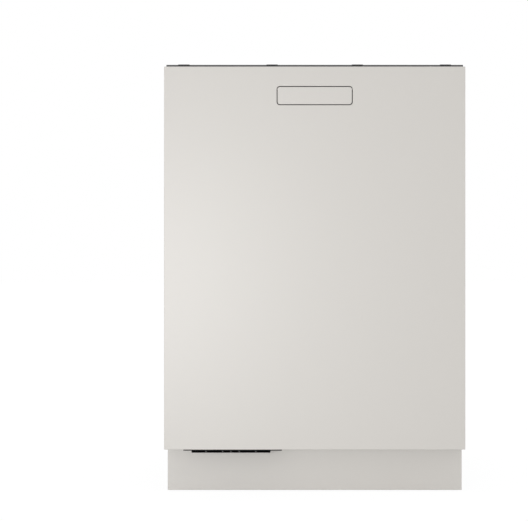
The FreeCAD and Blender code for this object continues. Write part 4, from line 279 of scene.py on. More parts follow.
def mark_sharp(bm, degrees=CRISP_ANGLE):
    """Marks the edges that stay crisp when the faces are smoothed."""
    for edge in bm.edges:
        if len(edge.link_faces) == 2:
            edge.smooth = edge.calc_face_angle(0) < math.radians(degrees)


def make_piece(name, bm, body, material, replaces=(), sharp=CRISP_ANGLE):
    """Turns a finished bmesh into a piece that rides on its body."""
    bmesh.ops.remove_doubles(bm, verts=bm.verts, dist=SAME_POINT)
    mark_sharp(bm, sharp)
    mesh = bpy.data.meshes.new(name)
    bm.to_mesh(mesh)
    bm.free()
    thing = place_piece(name, mesh, body, material, replaces)
    thing.modifiers.new("even_shading", "WEIGHTED_NORMAL").keep_sharp = True
    return thing


def place_piece(name, mesh, body, material, replaces=()):
    """Links a mesh as a piece of the machine."""
    thing = bpy.data.objects.new(name, mesh)
    bpy.context.scene.collection.objects.link(thing)
    mesh.materials.clear()
    mesh.materials.append(material)
    for face in mesh.polygons:
        face.use_smooth = True
    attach(thing, body)
    if replaces:
        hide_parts(*replaces)
    return thing


def dress(node, material, width=None, segments=2):
    """Gives a node of the frame its finish, merged faces and eased edges."""
    thing = frame["nodes"][node]
    thing.data.materials.clear()
    thing.data.materials.append(material)
    for face in thing.data.polygons:
        face.use_smooth = True
    thing.modifiers.new("weld", "WELD").merge_threshold = 0.00002
    flat = thing.modifiers.new("flat_faces", "DECIMATE")
    flat.decimate_type = "DISSOLVE"
    flat.angle_limit = math.radians(1.0)
    if width is None:
        width = look().edge_radius
    if width:
        ease = thing.modifiers.new("eased_edges", "BEVEL")
        ease.width = width
        ease.segments = segments
        ease.limit_method = "ANGLE"
        ease.angle_limit = math.radians(CRISP_ANGLE)
    thing.modifiers.new("even_shading", "WEIGHTED_NORMAL").keep_sharp = True


def axes(along):
    """The matrix that lays a shape made along Z out along another axis."""
    if along == "X":
        return Matrix(((0, 0, 1, 0), (1, 0, 0, 0), (0, 1, 0, 0), (0, 0, 0, 1)))
    if along == "Y":
        return Matrix(((1, 0, 0, 0), (0, 0, 1, 0), (0, 1, 0, 0), (0, 0, 0, 1)))
    return Matrix.Identity(4)


def points_of(made):
    """The vertices among the things that an operator made."""
    return [item for item in made if isinstance(item, bmesh.types.BMVert)]


def faces_at(points):
    """The faces that touch some vertices."""
    return list({face for vert in points for face in vert.link_faces})


def ease_edges(bm, edges, width, segments=3):
    """Rounds edges and gives what was made."""
    return bmesh.ops.bevel(bm, geom=edges, offset=width, segments=segments, profile=0.5, affect="EDGES",
                           material=-1)


def rounded_loop(bm, half_width, half_height, radius, steps=5, filled=False):
    """A rounded rectangle: a circle whose quarters are pulled into the corners."""
    turn = Matrix.Rotation(math.pi / (4 * steps), 4, "Z")
    made = bmesh.ops.create_circle(bm, cap_ends=filled, segments=4 * steps, radius=radius, matrix=turn)
    for vert in made["verts"]:
        vert.co.x += math.copysign(half_width - radius, vert.co.x)
        vert.co.y += math.copysign(half_height - radius, vert.co.y)
    return made["verts"]


def slab(bm, low, high, along, radius, ease=0.0, steps=5):
    """A block between two corners, rounded about one axis, with eased rims."""
    low, high = Vector(low), Vector(high)
    middle = (low + high) / 2
    half = (high - low) / 2
    across, up, deep = {"X": (half.y, half.z, half.x), "Y": (half.x, half.z, half.y),
                        "Z": (half.x, half.y, half.z)}[along]
    radius = min(radius, across * 0.999, up * 0.999)
    ring = rounded_loop(bm, across, up, radius, steps, filled=True)
    faces = faces_at(ring)
    bmesh.ops.translate(bm, verts=ring, vec=(0, 0, -deep))
    top = points_of(bmesh.ops.extrude_face_region(bm, geom=faces)["geom"])
    bmesh.ops.translate(bm, verts=top, vec=(0, 0, deep * 2))
    points = list(ring) + top
    if ease:
        rims = {edge for vert in points for edge in vert.link_edges
                if abs(edge.verts[0].co.z - edge.verts[1].co.z) < 1e-9}
        made = ease_edges(bm, list(rims), ease)
        points = list({vert for face in made["faces"] for vert in face.verts}
                      | {vert for vert in points if vert.is_valid})
    bmesh.ops.transform(bm, matrix=Matrix.Translation(middle) @ axes(along), verts=points)
    bmesh.ops.recalc_face_normals(bm, faces=faces_at(points))


def rod(bm, start, end, radius, sides=16, tip=None):
    """A round bar between two points; its far end may be thinner."""
    start, end = Vector(start), Vector(end)
    along = end - start
    place = Matrix.Translation((start + end) / 2) @ along.to_track_quat("Z", "Y").to_matrix().to_4x4()
    bmesh.ops.create_cone(bm, cap_ends=True, segments=sides, radius1=radius,
                          radius2=radius if tip is None else tip, depth=along.length, matrix=place)


def turned(bm, profile, centre, along="Z", steps=40):
    """A turned shape from a profile of radii and heights."""
    chain = [bm.verts.new((radius, 0, height)) for radius, height in profile]
    edges = [bm.edges.new(pair) for pair in zip(chain, chain[1:])]
    before = set(bm.verts) - set(chain)
    bmesh.ops.spin(bm, geom=chain + edges, cent=(0, 0, 0), axis=(0, 0, 1), angle=math.tau, steps=steps,
                   use_merge=True)
    new = [vert for vert in bm.verts if vert not in before]
    bmesh.ops.remove_doubles(bm, verts=new, dist=SAME_POINT)
    new = [vert for vert in bm.verts if vert not in before]
    bmesh.ops.transform(bm, matrix=Matrix.Translation(centre) @ axes(along), verts=new)
    bmesh.ops.recalc_face_normals(bm, faces=faces_at(new))


def bend(points, radius, closed=False):
    """The handles of a wire that runs through the points and turns each corner with a radius."""
    points = [Vector(point) for point in points]
    round_share, straight_share = 0.55, 0.2
    knots = []
    for k, point in enumerate(points):
        if not closed and k in (0, len(points) - 1):
            near = points[1] if k == 0 else points[-2]
            step = (near - point) / 3
            if k == 0:
                knots.append((point, point - step, point + step))
            else:
                knots.append((point, point + step, point - step))
            continue
        back = (points[k - 1] - point).normalized()
        ahead = (points[(k + 1) % len(points)] - point).normalized()
        first = point + back * radius
        last = point + ahead * radius
        pull = radius * round_share
        knots.append((first, first + back * pull * straight_share, first - back * pull))
        knots.append((last, last - ahead * pull, last + ahead * pull * straight_share))
    return knots


def bar_curve(name, radius, sides, turns):
    """An empty curve that gives its lines a round section."""
    curve = bpy.data.curves.new(name, "CURVE")
    curve.dimensions = "3D"
    curve.bevel_depth = radius
    curve.bevel_resolution = sides
    curve.resolution_u = turns
    curve.use_fill_caps = True
    return curve


def wires(name, paths, radius, body, material, replaces=(), closed=False, corner=0.012,
          sides=2, turns=3):
    """Bars bent along paths, as one piece."""
    curve = bar_curve(name, radius, sides, turns)
    for path in paths:
        knots = bend(path, corner, closed)
        line = curve.splines.new("BEZIER")
        line.bezier_points.add(len(knots) - 1)
        for knot, (point, left, right) in zip(line.bezier_points, knots):
            knot.handle_left_type = "FREE"
            knot.handle_right_type = "FREE"
            knot.co = point
            knot.handle_left = left
            knot.handle_right = right
        line.use_cyclic_u = closed
    return place_piece(name, solid_mesh(curve), body, material, replaces)


def solid_mesh(curve):
    """The mesh of a thick curve, with its end caps joined to its sides."""
    carrier = bpy.data.objects.new(curve.name + "_line", curve)
    bpy.context.scene.collection.objects.link(carrier)
    bpy.context.view_layer.update()
    view = bpy.context.evaluated_depsgraph_get()
    mesh = bpy.data.meshes.new_from_object(carrier.evaluated_get(view))
    bpy.data.objects.remove(carrier)
    bm = bmesh.new()
    bm.from_mesh(mesh)
    bmesh.ops.remove_doubles(bm, verts=bm.verts, dist=SAME_POINT)
    bmesh.ops.recalc_face_normals(bm, faces=bm.faces)
    mark_sharp(bm)
    bm.to_mesh(mesh)
    bm.free()
    return mesh


def pin(bm, foot, height, radius, sides=8):
    """An upright pin with a domed tip."""
    dome = radius * 0.7
    centre = Vector(foot) + Vector((0, 0, (height - dome) / 2))
    made = bmesh.ops.create_cone(bm, cap_ends=True, segments=sides, radius1=radius, radius2=radius,
                                 depth=height - dome, matrix=Matrix.Translation(centre))["verts"]
    crown = max(faces_at(made), key=lambda face: face.calc_center_median().z)
    for share, rise in ((0.8, 0.6), (0.35, 0.4)):
        covered = crown
        raised = bmesh.ops.extrude_face_region(bm, geom=[covered])["geom"]
        crown = next(item for item in raised if isinstance(item, bmesh.types.BMFace))
        bmesh.ops.delete(bm, geom=[covered], context="FACES_ONLY")
        ring = points_of(raised)
        middle = sum((vert.co for vert in ring), Vector()) / len(ring)
        bmesh.ops.scale(bm, vec=(share, share, 1), verts=ring, space=Matrix.Translation(-middle))
        bmesh.ops.translate(bm, verts=ring, vec=(0, 0, dome * rise))


def spaced(start, end, count):
    """Evenly spaced places from one end to the other."""
    return [start + (end - start) * k / (count - 1) for k in range(count)]


# Door


def handle_opening():
    """Middle height, half width and half height of the handle's cut-out in the front."""
    low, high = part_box("handle_flap")
    pin_length, margin = 4.7 * MM, 1.4 * MM
    return (high.z + low.z) / 2, high.x - pin_length, (high.z - low.z) / 2 + margin


def folded_front(opening_middle, opening_half, opening_rise):
    """The front as a thin sheet: folded back at its outer edge and hemmed at its cut-out."""
    low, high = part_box("front_panel")
    middle = (low + high) / 2
    corner, opening_corner = 0.0014, 0.0065
    hem_depth, hem_radius = 0.002, 0.0006
    bm = bmesh.new()
    outer = rounded_loop(bm, (high.x - low.x) / 2, (high.z - low.z) / 2, corner, 8)
    outer_edges = list(bm.edges)
    inner = rounded_loop(bm, opening_half, opening_rise, opening_corner, 8)
    for vert in inner:
        vert.co.y += opening_middle - middle.z
    inner_edges = [edge for edge in bm.edges if edge not in outer_edges]
    bmesh.ops.bridge_loops(bm, edges=outer_edges + inner_edges)
    for edges, depth in ((outer_edges, high.y - low.y), (inner_edges, hem_depth)):
        folded = points_of(bmesh.ops.extrude_edge_only(bm, edges=edges)["geom"])
        bmesh.ops.translate(bm, verts=folded, vec=(0, 0, depth))
    for loop, radius, segments in ((outer, look().fold_radius, 4), (inner, hem_radius, 3)):
        rim = set(loop)
        ease_edges(bm, [edge for edge in bm.edges if rim.issuperset(edge.verts)], radius, segments)
    place = Matrix.Translation((middle.x, low.y, middle.z)) @ axes("Y")
    bmesh.ops.transform(bm, matrix=place, verts=bm.verts)
    bmesh.ops.recalc_face_normals(bm, faces=bm.faces)
    if sum(face.normal.y * face.calc_area() for face in bm.faces) > 0:
        bmesh.ops.reverse_faces(bm, faces=bm.faces)
    return bm


def flap_plate(middle, plate_half, plate_rise):
    """The flap: a rounded plate with a stiffening rib, and a barrel and pins on its axle."""
    low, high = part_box("handle_flap")
    plate_thick, plate_corner = 0.0024, 0.0051
    axle, pivot = behind(6), high.z - 3.6 * MM
    barrel_half, barrel_radius, neck = plate_half - 4.4 * MM, 0.0031, 0.0022
    pin_half, pin_radius = high.x - 0.0001, 0.0019
    back = low.y + 0.0022
    bm = bmesh.new()
    slab(bm, (-plate_half, low.y, middle - plate_rise),
         (plate_half, low.y + plate_thick, middle + plate_rise), "Y", plate_corner, 0.0006, 8)
    slab(bm, (-barrel_half, back, pivot - neck), (barrel_half, axle, pivot + neck), "Z", 0.0004)
    rod(bm, (-barrel_half, axle, pivot), (barrel_half, axle, pivot), barrel_radius, 20)
    rod(bm, (-pin_half, axle, pivot), (pin_half, axle, pivot), pin_radius, 16)
    slab(bm, (-barrel_half, back, low.z + 0.002), (barrel_half, low.y + 0.0054, low.z + 0.004), "Z",
         0.0003)
    return bm


class DISHWASHER_OT_door_front(bpy.types.Operator):
    """Folded lacquered front with its handle opening, and the flap that closes it"""

    bl_idname = "dishwasher.door_front"
    bl_label = "Door front and handle flap"

    def execute(self, context):
        gap = context.scene.dishwasher_look.flap_gap
        opening_middle, opening_half, opening_rise = handle_opening()
        bm = folded_front(opening_middle, opening_half, opening_rise)
        front = make_piece("door_front", bm, "door", lacquer(), ["front_panel"])
        sheet = front.modifiers.new("sheet", "SOLIDIFY")
        sheet.thickness = 0.001
        sheet.offset = -1
        front.modifiers.move(1, 0)
        bm = flap_plate(opening_middle, opening_half - gap, opening_rise - gap)
        make_piece("handle_flap_plate", bm, "handle_flap", lacquer(), ["handle_flap"])
        dress("handle_pocket", plastic("dark_plastic"), 0.0012, 3)
        return {"FINISHED"}


class DISHWASHER_OT_door_inside(bpy.types.Operator):
    """Pressed inner door with its dispenser, rinse aid cap and latch"""

    bl_idname = "dishwasher.door_inside"
    bl_label = "Inner door and dispenser"

    def execute(self, context):
        dress("inner_door", stainless(), 0.0006, 2)
        dress("dispenser_body", plastic("grey_plastic"), 0.0008)
        dress("dispenser_lid", finish("clear_grey_lid", (0.36, 0.37, 0.39), 0.2, coat=0.4), 0.0009, 3)
        dress("latch_case", plastic("dark_plastic"), 0.0004)
        low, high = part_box("rinse_aid_cap")
        centre = Vector(((low.x + high.x) / 2, behind(50), (low.z + high.z) / 2))
        grip_half, grip_thick, grip_foot = 0.013, 0.002, 0.003
        bm = bmesh.new()
        turned(bm, [(0, -0.008), (0.0105, -0.008), (0.011, -0.0075), (0.011, 0.0003), (0.0165, 0.0003),
                    (0.017, 0.0008), (0.017, 0.0034), (0.0158, 0.0043), (0.0125, 0.0043),
                    (0.0115, 0.0034), (0, 0.0034)], centre, "Y", 48)
        slab(bm, (centre.x - grip_half, centre.y + grip_foot, centre.z - grip_thick),
             (centre.x + grip_half, high.y, centre.z + grip_thick), "Y", 0.0018, 0.0005)
        make_piece("rinse_aid_turn_cap", bm, "rinse_aid_cap", plastic("cap_blue", 0.35),
                   ["rinse_aid_cap"])
        return {"FINISHED"}


class DISHWASHER_OT_controls(bpy.types.Operator):
    """Control strip in the door's top edge with its display, lamps and buttons"""

    bl_idname = "dishwasher.controls"
    bl_label = "Controls"

    def execute(self, context):
        dress("control_fascia", plastic("dark_plastic", 0.38, 1300.0, 0.000012), 0.0006)
        dress("control_board",
              finish("circuit_green", slot_colours["circuit_board"], 0.4, drift=0.3, patch=220.0))
        low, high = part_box("control_fascia")
        middle = (low.y + high.y) / 2
        window_left, window_right, window_half = -0.1345, -0.0655, 0.0051
        bm = bmesh.new()
        slab(bm, (window_left, middle - window_half, high.z - 0.0006),
             (window_right, middle + window_half, high.z - 0.0001), "Z", 0.003, 0.0001)
        glass = finish("display_glass", (0.012, 0.014, 0.017), 0.07, drift=0.02, depth=0.0,
                       uneven=0.01, coat=1.0)
        make_piece("display_window", bm, "door", glass)
        lens = [(0, 0), (0.001, 0), (0.001, 0.00015), (0.0007, 0.0003), (0, 0.00035)]
        bm = bmesh.new()
        for place in (-0.165, -0.155, 0.120, 0.130, 0.140, 0.150, 0.222, 0.230):
            turned(bm, lens, (place, middle, high.z - 0.00005), "Z", 12)
        lamp = finish("status_lamp", (0.55, 0.58, 0.6), 0.25, drift=0.02, coat=0.5)
        make_piece("status_lamps", bm, "door", lamp)
        cap_half, cap_deep = 0.012, 0.0045
        collar_low, collar_high = 0.8473, 0.8482
        for name in ("button_power", "button_program", "button_options", "button_start"):
            low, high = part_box(name)
            middle_x = (low.x + high.x) / 2
            bm = bmesh.new()
            slab(bm, (middle_x - cap_half, middle - cap_deep, low.z),
                 (middle_x + cap_half, middle + cap_deep, high.z), "Z", 0.0032, 0.0005)
            slab(bm, (low.x, low.y, collar_low), (high.x, high.y, collar_high), "Z", 0.0012)
            make_piece(name + "_cap", bm, name, plastic("button_plastic", 0.28, 1500.0, 0.000008),
                       [name])
        return {"FINISHED"}


class DISHWASHER_OT_vent(bpy.types.Operator):
    """Steam duct in the door with its grille, and the louvred outlet below the door"""

    bl_idname = "dishwasher.vent"
    bl_label = "Door vent"

    def execute(self, context):
        dress("vent_duct", plastic("dark_plastic"), 0.0006)
        # The outlet is dark plastic painted nearly black, darker than the duct's same plastic: painted
        # shade in the outlet's flange and mouth.
        black = finish("vent_black_painted_shade", (0.012, 0.012, 0.013), 0.75, grain=1100.0, depth=0.00002)
        black.node_tree.nodes["Principled BSDF"].inputs["Specular IOR Level"].default_value = 0.2
        dress("vent_outlet", black, 0.00025)
        outlet_middle, bar_half = -0.166, 0.00085
        bm = bmesh.new()
        for place in (-49.4, -16.4, 0, 16.4, 49.4):
            middle = outlet_middle + place * MM
            slab(bm, (middle - bar_half, behind(4.9), 0.0871), (middle + bar_half, behind(6.4), 0.0911),
                 "X", 0.0003)
        # Thin caps on the fronts of the outlet's ribs, painted lighter grey than the outlet's same
        # plastic: painted highlight where the rib fronts catch the light.
        grey = finish("divider_painted_highlight", (0.12, 0.12, 0.12), 0.5, grain=1100.0, depth=0.00002)
        make_piece("vent_dividers", bm, "door", grey)
        return {"FINISHED"}


class DISHWASHER_OT_seals(bpy.types.Operator):
    """Door gasket round the mouth of the tub and the sweep seal at the foot of the door"""

    bl_idname = "dishwasher.seals"
    bl_label = "Seals"

    def execute(self, context):
        low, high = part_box("tub_gasket")
        side = high.x - 0.004
        top = high.z - 0.004
        path = [(-side, low.z), (-side, top), (side, top), (side, low.z)]
        bulb = [[(x, behind(51.4), z) for x, z in path]]
        foot = [[(x, behind(56.3), z) for x, z in path]]
        bulb_radius, foot_radius, bend_radius = 0.0039, 0.0036, 0.03
        gasket = wires("door_gasket_bulb", bulb, bulb_radius, "cabinet", rubber(),
                       ["tub_gasket"], corner=bend_radius, sides=4, turns=10)
        base = wires("door_gasket_foot", foot, foot_radius, "cabinet", rubber(),
                     corner=bend_radius, sides=3, turns=10)
        low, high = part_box("door_bottom_seal")
        left, right = low.x + 0.001, high.x - 0.001
        lip_radius = 0.0018
        lip_y, lip_z = high.y - lip_radius, low.z + lip_radius
        bm = bmesh.new()
        slab(bm, low, (high.x, low.y + 0.003, high.z), "Y", 0.002, 0.0006)
        slab(bm, (left, low.y + 0.0025, low.z), (right, high.y - 0.0016, low.z + 0.003), "Y",
             0.0012, 0.0006)
        rod(bm, (left, lip_y, lip_z), (right, lip_y, lip_z), lip_radius, 16)
        slab(bm, (left, high.y - 0.003, low.z + 0.002), (right, high.y, high.z), "Z", 0.0012, 0.0006)
        seal = make_piece("door_sweep_seal", bm, "door", rubber(), ["door_bottom_seal"])
        return {"FINISHED"}


# Cabinet


class DISHWASHER_OT_cabinet(bpy.types.Operator):
    """Side, back and top panels, worktop strip with its lugs and screw holes, and the plinth"""

    bl_idname = "dishwasher.cabinet"
    bl_label = "Cabinet panels"

    def execute(self, context):
        for node in ("side_panel_left", "side_panel_right", "rear_panel", "top_panel"):
            dress(node, zinc(), 0.0003)
        grey = finish("strip_grey", (0.109, 0.109, 0.112), 0.5, grain=1000.0, depth=0.00002)
        dress("worktop_strip", grey, 0.0003)
        low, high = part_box("worktop_strip")
        lug_half, lug_thick = 0.0111, 0.0036
        screw_line = low.y + 0.012
        collar = [(0.0023, high.z - 0.0004), (0.0031, high.z - 0.0004), (0.0033, high.z - 0.0001),
                  (0.0023, high.z - 0.0001), (0.0023, high.z - 0.0004)]
        bm = bmesh.new()
        for place in (-0.261, -0.085, 0.085, 0.261):
            slab(bm, (place - lug_half, low.y - 0.0003, high.z - lug_thick),
                 (place + lug_half, low.y + 0.0007, high.z), "Y", 0.0007, 0.0002)
            turned(bm, collar, (place, screw_line, 0), "Z", 24)
        black = finish("lug_black", (0.023, 0.023, 0.025), 0.5, grain=1000.0, depth=0.00002)
        make_piece("worktop_lugs", bm, "cabinet", black)
        dress("plinth_panel", lacquer(), 0.0004, 3)
        return {"FINISHED"}


class DISHWASHER_OT_felt(bpy.types.Operator):
    """Heavy felt blanket over the top and the back of the tub"""

    bl_idname = "dishwasher.felt"
    bl_label = "Felt blanket"

    def execute(self, context):
        low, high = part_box("tub_insulation")
        thick, dent, waves = 0.0098, 0.0012, 17
        profile = [(low.y, high.z), (low.y, high.z - thick), (high.y - thick, high.z - thick),
                   (high.y - thick, low.z), (high.y, low.z), (high.y, high.z)]
        bm = bmesh.new()
        chain = [bm.verts.new((low.x, y, z)) for y, z in profile]
        edges = [bm.edges.new((vert, chain[place - 1])) for place, vert in enumerate(chain)]
        end = bmesh.ops.edgeloop_fill(bm, edges=edges)["faces"]
        far_end = points_of(bmesh.ops.extrude_face_region(bm, geom=end)["geom"])
        bmesh.ops.translate(bm, verts=far_end, vec=(high.x - low.x, 0, 0))
        long_edges = [edge for edge in bm.edges if edge.calc_length() > 0.1]
        bmesh.ops.subdivide_edges(bm, edges=long_edges, cuts=22, use_grid_fill=True)
        bmesh.ops.recalc_face_normals(bm, faces=bm.faces)
        bm.normal_update()
        for vert in bm.verts:
            wave = noise.noise(vert.co * waves) * 0.5 + 0.5
            vert.co -= vert.normal * dent * wave
        wool = finish("pressed_felt", slot_colours["felt"], 0.95, drift=0.35, patch=120.0, grain=1500.0,
                      depth=0.0004)
        blanket = make_piece("felt_blanket", bm, "cabinet", wool, ["tub_insulation"], sharp=60)
        return {"FINISHED"}


def filter_cup():
    """The coarse filter: a cup with a wide rim and a handle across it."""
    low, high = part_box("coarse_filter")
    centre = (low + high) / 2
    base, rim = low.z, high.z - 0.012
    handle_half, handle_thick = 0.0275, 0.002
    bm = bmesh.new()
    turned(bm, [(0, base), (0.027, base), (0.028, base + 0.001), (0.028, rim - 0.002),
                (0.0325, rim - 0.002), (0.033, rim - 0.0015), (0.033, rim - 0.0005), (0.0325, rim),
                (0.0265, rim), (0.026, rim - 0.001), (0.026, base + 0.002), (0, base + 0.002)],
           (centre.x, centre.y, 0), "Z", 48)
    slab(bm, (centre.x - handle_half, centre.y - handle_thick, rim - 0.0018),
         (centre.x + handle_half, centre.y + handle_thick, high.z), "Y", 0.0045, 0.0006)
    make_piece("coarse_filter_cup", bm, "coarse_filter", plastic("grey_plastic"),
               ["coarse_filter"])


def salt_cap():
    """The salt cap: a plug with a ribbed flange and a grip across it."""
    low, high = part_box("salt_cap")
    centre = (low + high) / 2
    foot = low.z
    grip_height, flange_thick = 0.005, 0.008
    flange = high.z - grip_height - flange_thick
    grip_half, grip_thick = 0.0235, 0.002
    ribs, rib_circle, rib_radius = 36, 0.0343, 0.0006
    bm = bmesh.new()
    turned(bm, [(0, foot), (0.0238, foot), (0.0243, foot + 0.0005), (0.0243, flange), (0.0345, flange),
                (0.035, flange + 0.0006), (0.035, flange + 0.005), (0.0335, flange + 0.0078),
                (0.031, flange + flange_thick), (0.0285, flange + 0.0062), (0, flange + 0.0062)],
           (centre.x, centre.y, 0), "Z", 56)
    slab(bm, (centre.x - grip_half, centre.y - grip_thick, flange + 0.006),
         (centre.x + grip_half, centre.y + grip_thick, high.z), "Z", 0.0019, 0.0006)
    for k in range(ribs):
        turn = math.tau * k / ribs
        way = Vector((math.cos(turn), math.sin(turn), 0))
        spot = Vector((centre.x, centre.y, 0)) + way * rib_circle
        rod(bm, spot + Vector((0, 0, flange + 0.0012)), spot + Vector((0, 0, flange + 0.0048)),
            rib_radius, 6)
    make_piece("salt_turn_cap", bm, "salt_cap", plastic("grey_plastic"), ["salt_cap"])


class DISHWASHER_OT_tub(bpy.types.Operator):
    """Stainless tub with its filters, salt cap, riser pipe and latch striker"""

    bl_idname = "dishwasher.tub"
    bl_label = "Tub and filters"

    def execute(self, context):
        dress("tub", stainless("tub_steel", (26, 26, 1)), 0.0002)
        dress("latch_striker", stainless(), 0.0004)
        sieve = perforated("filter_sheet", slot_colours["stainless"], pitch=0.0022, hole=0.30)
        dress("fine_filter", sieve, 0.0002)
        dress("feed_pipe", plastic("grey_plastic"), 0.0012, 3)
        filter_cup()
        salt_cap()
        return {"FINISHED"}


def thread(foot, top):
    """The profile of a screw's spindle, one ridge after another."""
    core, crest, pitch = 0.0051, 0.0059, 0.0018
    profile = [(0, foot)]
    level = foot + 0.0002
    while level < top - 0.003:
        profile += [(core, level), (crest, level + 0.0006), (crest, level + 0.0009),
                    (core, level + 0.0015)]
        level += pitch
    return profile + [(core, top - 0.001), (0.0044, top), (0, top)]


class DISHWASHER_OT_base(bpy.types.Operator):
    """Moulded base with its screw feet"""

    bl_idname = "dishwasher.base"
    bl_label = "Base and feet"

    def execute(self, context):
        dress("base_frame", plastic("base_plastic", 0.55, 700.0, 0.00003), 0.0006)
        pad = [(0, 0), (0.0186, 0), (0.0198, 0.0012), (0.02, 0.004), (0.0188, 0.0072), (0.0165, 0.009),
               (0, 0.009)]
        nut_radius, nut_height, nut_middle = 0.0125, 0.007, 0.0125
        for node in ("foot_front_left", "foot_front_right", "foot_rear_left", "foot_rear_right"):
            low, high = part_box(node)
            centre = (low + high) / 2
            bm = bmesh.new()
            turned(bm, pad, (centre.x, centre.y, 0), "Z", 40)
            bmesh.ops.create_cone(bm, cap_ends=True, segments=6, radius1=nut_radius,
                                  radius2=nut_radius, depth=nut_height,
                                  matrix=Matrix.Translation((centre.x, centre.y, nut_middle)))
            turned(bm, thread(0.016, high.z), (centre.x, centre.y, 0), "Z", 20)
            make_piece(node + "_screw", bm, node, plastic("black_plastic", 0.5),
                       [node])
        return {"FINISHED"}


class DISHWASHER_OT_wash_system(bpy.types.Operator):
    """Sump, pumps, inlet valve, salt tank, water chamber and the upper arm's feed"""

    bl_idname = "dishwasher.wash_system"
    bl_label = "Wash system"

    def execute(self, context):
        dress("sump", plastic("base_plastic"), 0.0008)
        dress("circulation_pump", finish("pump_housing", (0.2, 0.2, 0.21), 0.45, drift=0.08), 0.0012, 3)
        dress("drain_pump", finish("drain_housing", (0.55, 0.56, 0.57), 0.5, drift=0.08), 0.001, 3)
        dress("inlet_valve", finish("valve_housing", (0.72, 0.72, 0.7), 0.45, drift=0.06), 0.0006)
        milky = finish("milky_plastic", slot_colours["clear_plastic"], 0.35, drift=0.04, patch=8.0,
                       coat=0.2)
        dress("salt_tank", milky, 0.0012, 3)
        dress("inlet_chamber", milky, 0.001)
        dress("upper_arm_feed", plastic("grey_plastic"), 0.001, 3)
        return {"FINISHED"}


def coil(middle, side, level):
    """The run of a spring's wire: a hooked end, the turns and another hooked end."""
    front_hook, rear_hook, hook_reach = behind(76.4), behind(220.4), 0.0105
    start, end, radius = behind(88.5), behind(208.3), 0.0049
    turns, dots = 46, 8
    run = [(middle + side * hook_reach, front_hook, level), (middle, front_hook, level),
           (middle, behind(82), level)]
    for k in range(turns * dots + 1):
        turn = math.tau * k / dots
        run.append((middle + radius * math.cos(turn), start + (end - start) * k / (turns * dots),
                    level + radius * math.sin(turn)))
    return run + [(middle, behind(214), level), (middle, rear_hook, level),
                  (middle + side * hook_reach, rear_hook, level)]


class DISHWASHER_OT_hinges(bpy.types.Operator):
    """Hinge plates and arms with the coiled counterbalance springs"""

    bl_idname = "dishwasher.hinges"
    bl_label = "Hinges and springs"

    def execute(self, context):
        dress("hinge_plates", zinc(), 0.0004)
        dress("hinge_arms", zinc(), 0.0004)
        low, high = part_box("door_springs")
        spring_middle, wire = 0.2726, 0.001
        curve = bar_curve("spring_line", wire, 1, 2)
        for side in (-1, 1):
            points = coil(side * spring_middle, side, (low.z + high.z) / 2)
            line = curve.splines.new("NURBS")
            line.points.add(len(points) - 1)
            for dot, point in zip(line.points, points):
                dot.co = (*point, 1)
            line.order_u = 3
            line.use_endpoint_u = True
        steel = finish("spring_steel", slot_colours["spring_steel"], 0.3, 1.0, grain=900.0)
        place_piece("coiled_springs", solid_mesh(curve), "cabinet", steel,
                    ["door_springs"])
        return {"FINISHED"}


# Racks


def basket(rack, front, back, half, low, high, across_count, along_count, middle_ring=True):
    """A wire basket: bent wires both ways, a rim, a middle ring and a floor ring."""
    wire, rim = look().rack_wire, look().rack_rim
    floor_across = low + 0.002
    floor_along = floor_across + wire * 2
    top = high - rim
    side = half - rim - wire - rim
    near, far = front + rim * 2 + wire, back - rim * 2 - wire
    margin = 0.022
    paths = []
    for y in spaced(near + margin, far - margin, across_count):
        paths.append([(-side, y, top), (-side, y, floor_across), (side, y, floor_across),
                      (side, y, top)])
    for x in spaced(-side + margin, side - margin, along_count):
        paths.append([(x, near, top), (x, near, floor_along), (x, far, floor_along), (x, far, top)])
    wires(f"{rack}_wires", paths, wire, rack, coated(), [rack], corner=0.012, sides=1)
    ring = [(-half + rim, front + rim), (half - rim, front + rim), (half - rim, back - rim),
            (-half + rim, back - rim)]
    levels = [top, low + 0.006]
    if middle_ring:
        levels.append((low + high) / 2 + 0.004)
    wires(f"{rack}_rims", [[(x, y, z) for x, y in ring] for z in levels], rim * 0.96, rack, coated(),
          closed=True, corner=0.022, sides=2, turns=6)


def tine_row(bm, y, level, half, height, pitch):
    """A rod with a row of round-topped tines."""
    rod(bm, (-half, y, level), (half, y, level), 0.0019, 10)
    count = int(half * 2 / pitch)
    end = pitch * (count - 1) / 2
    for x in spaced(-end, end, count):
        pin(bm, (x, y, level), height, look().plate_tine)


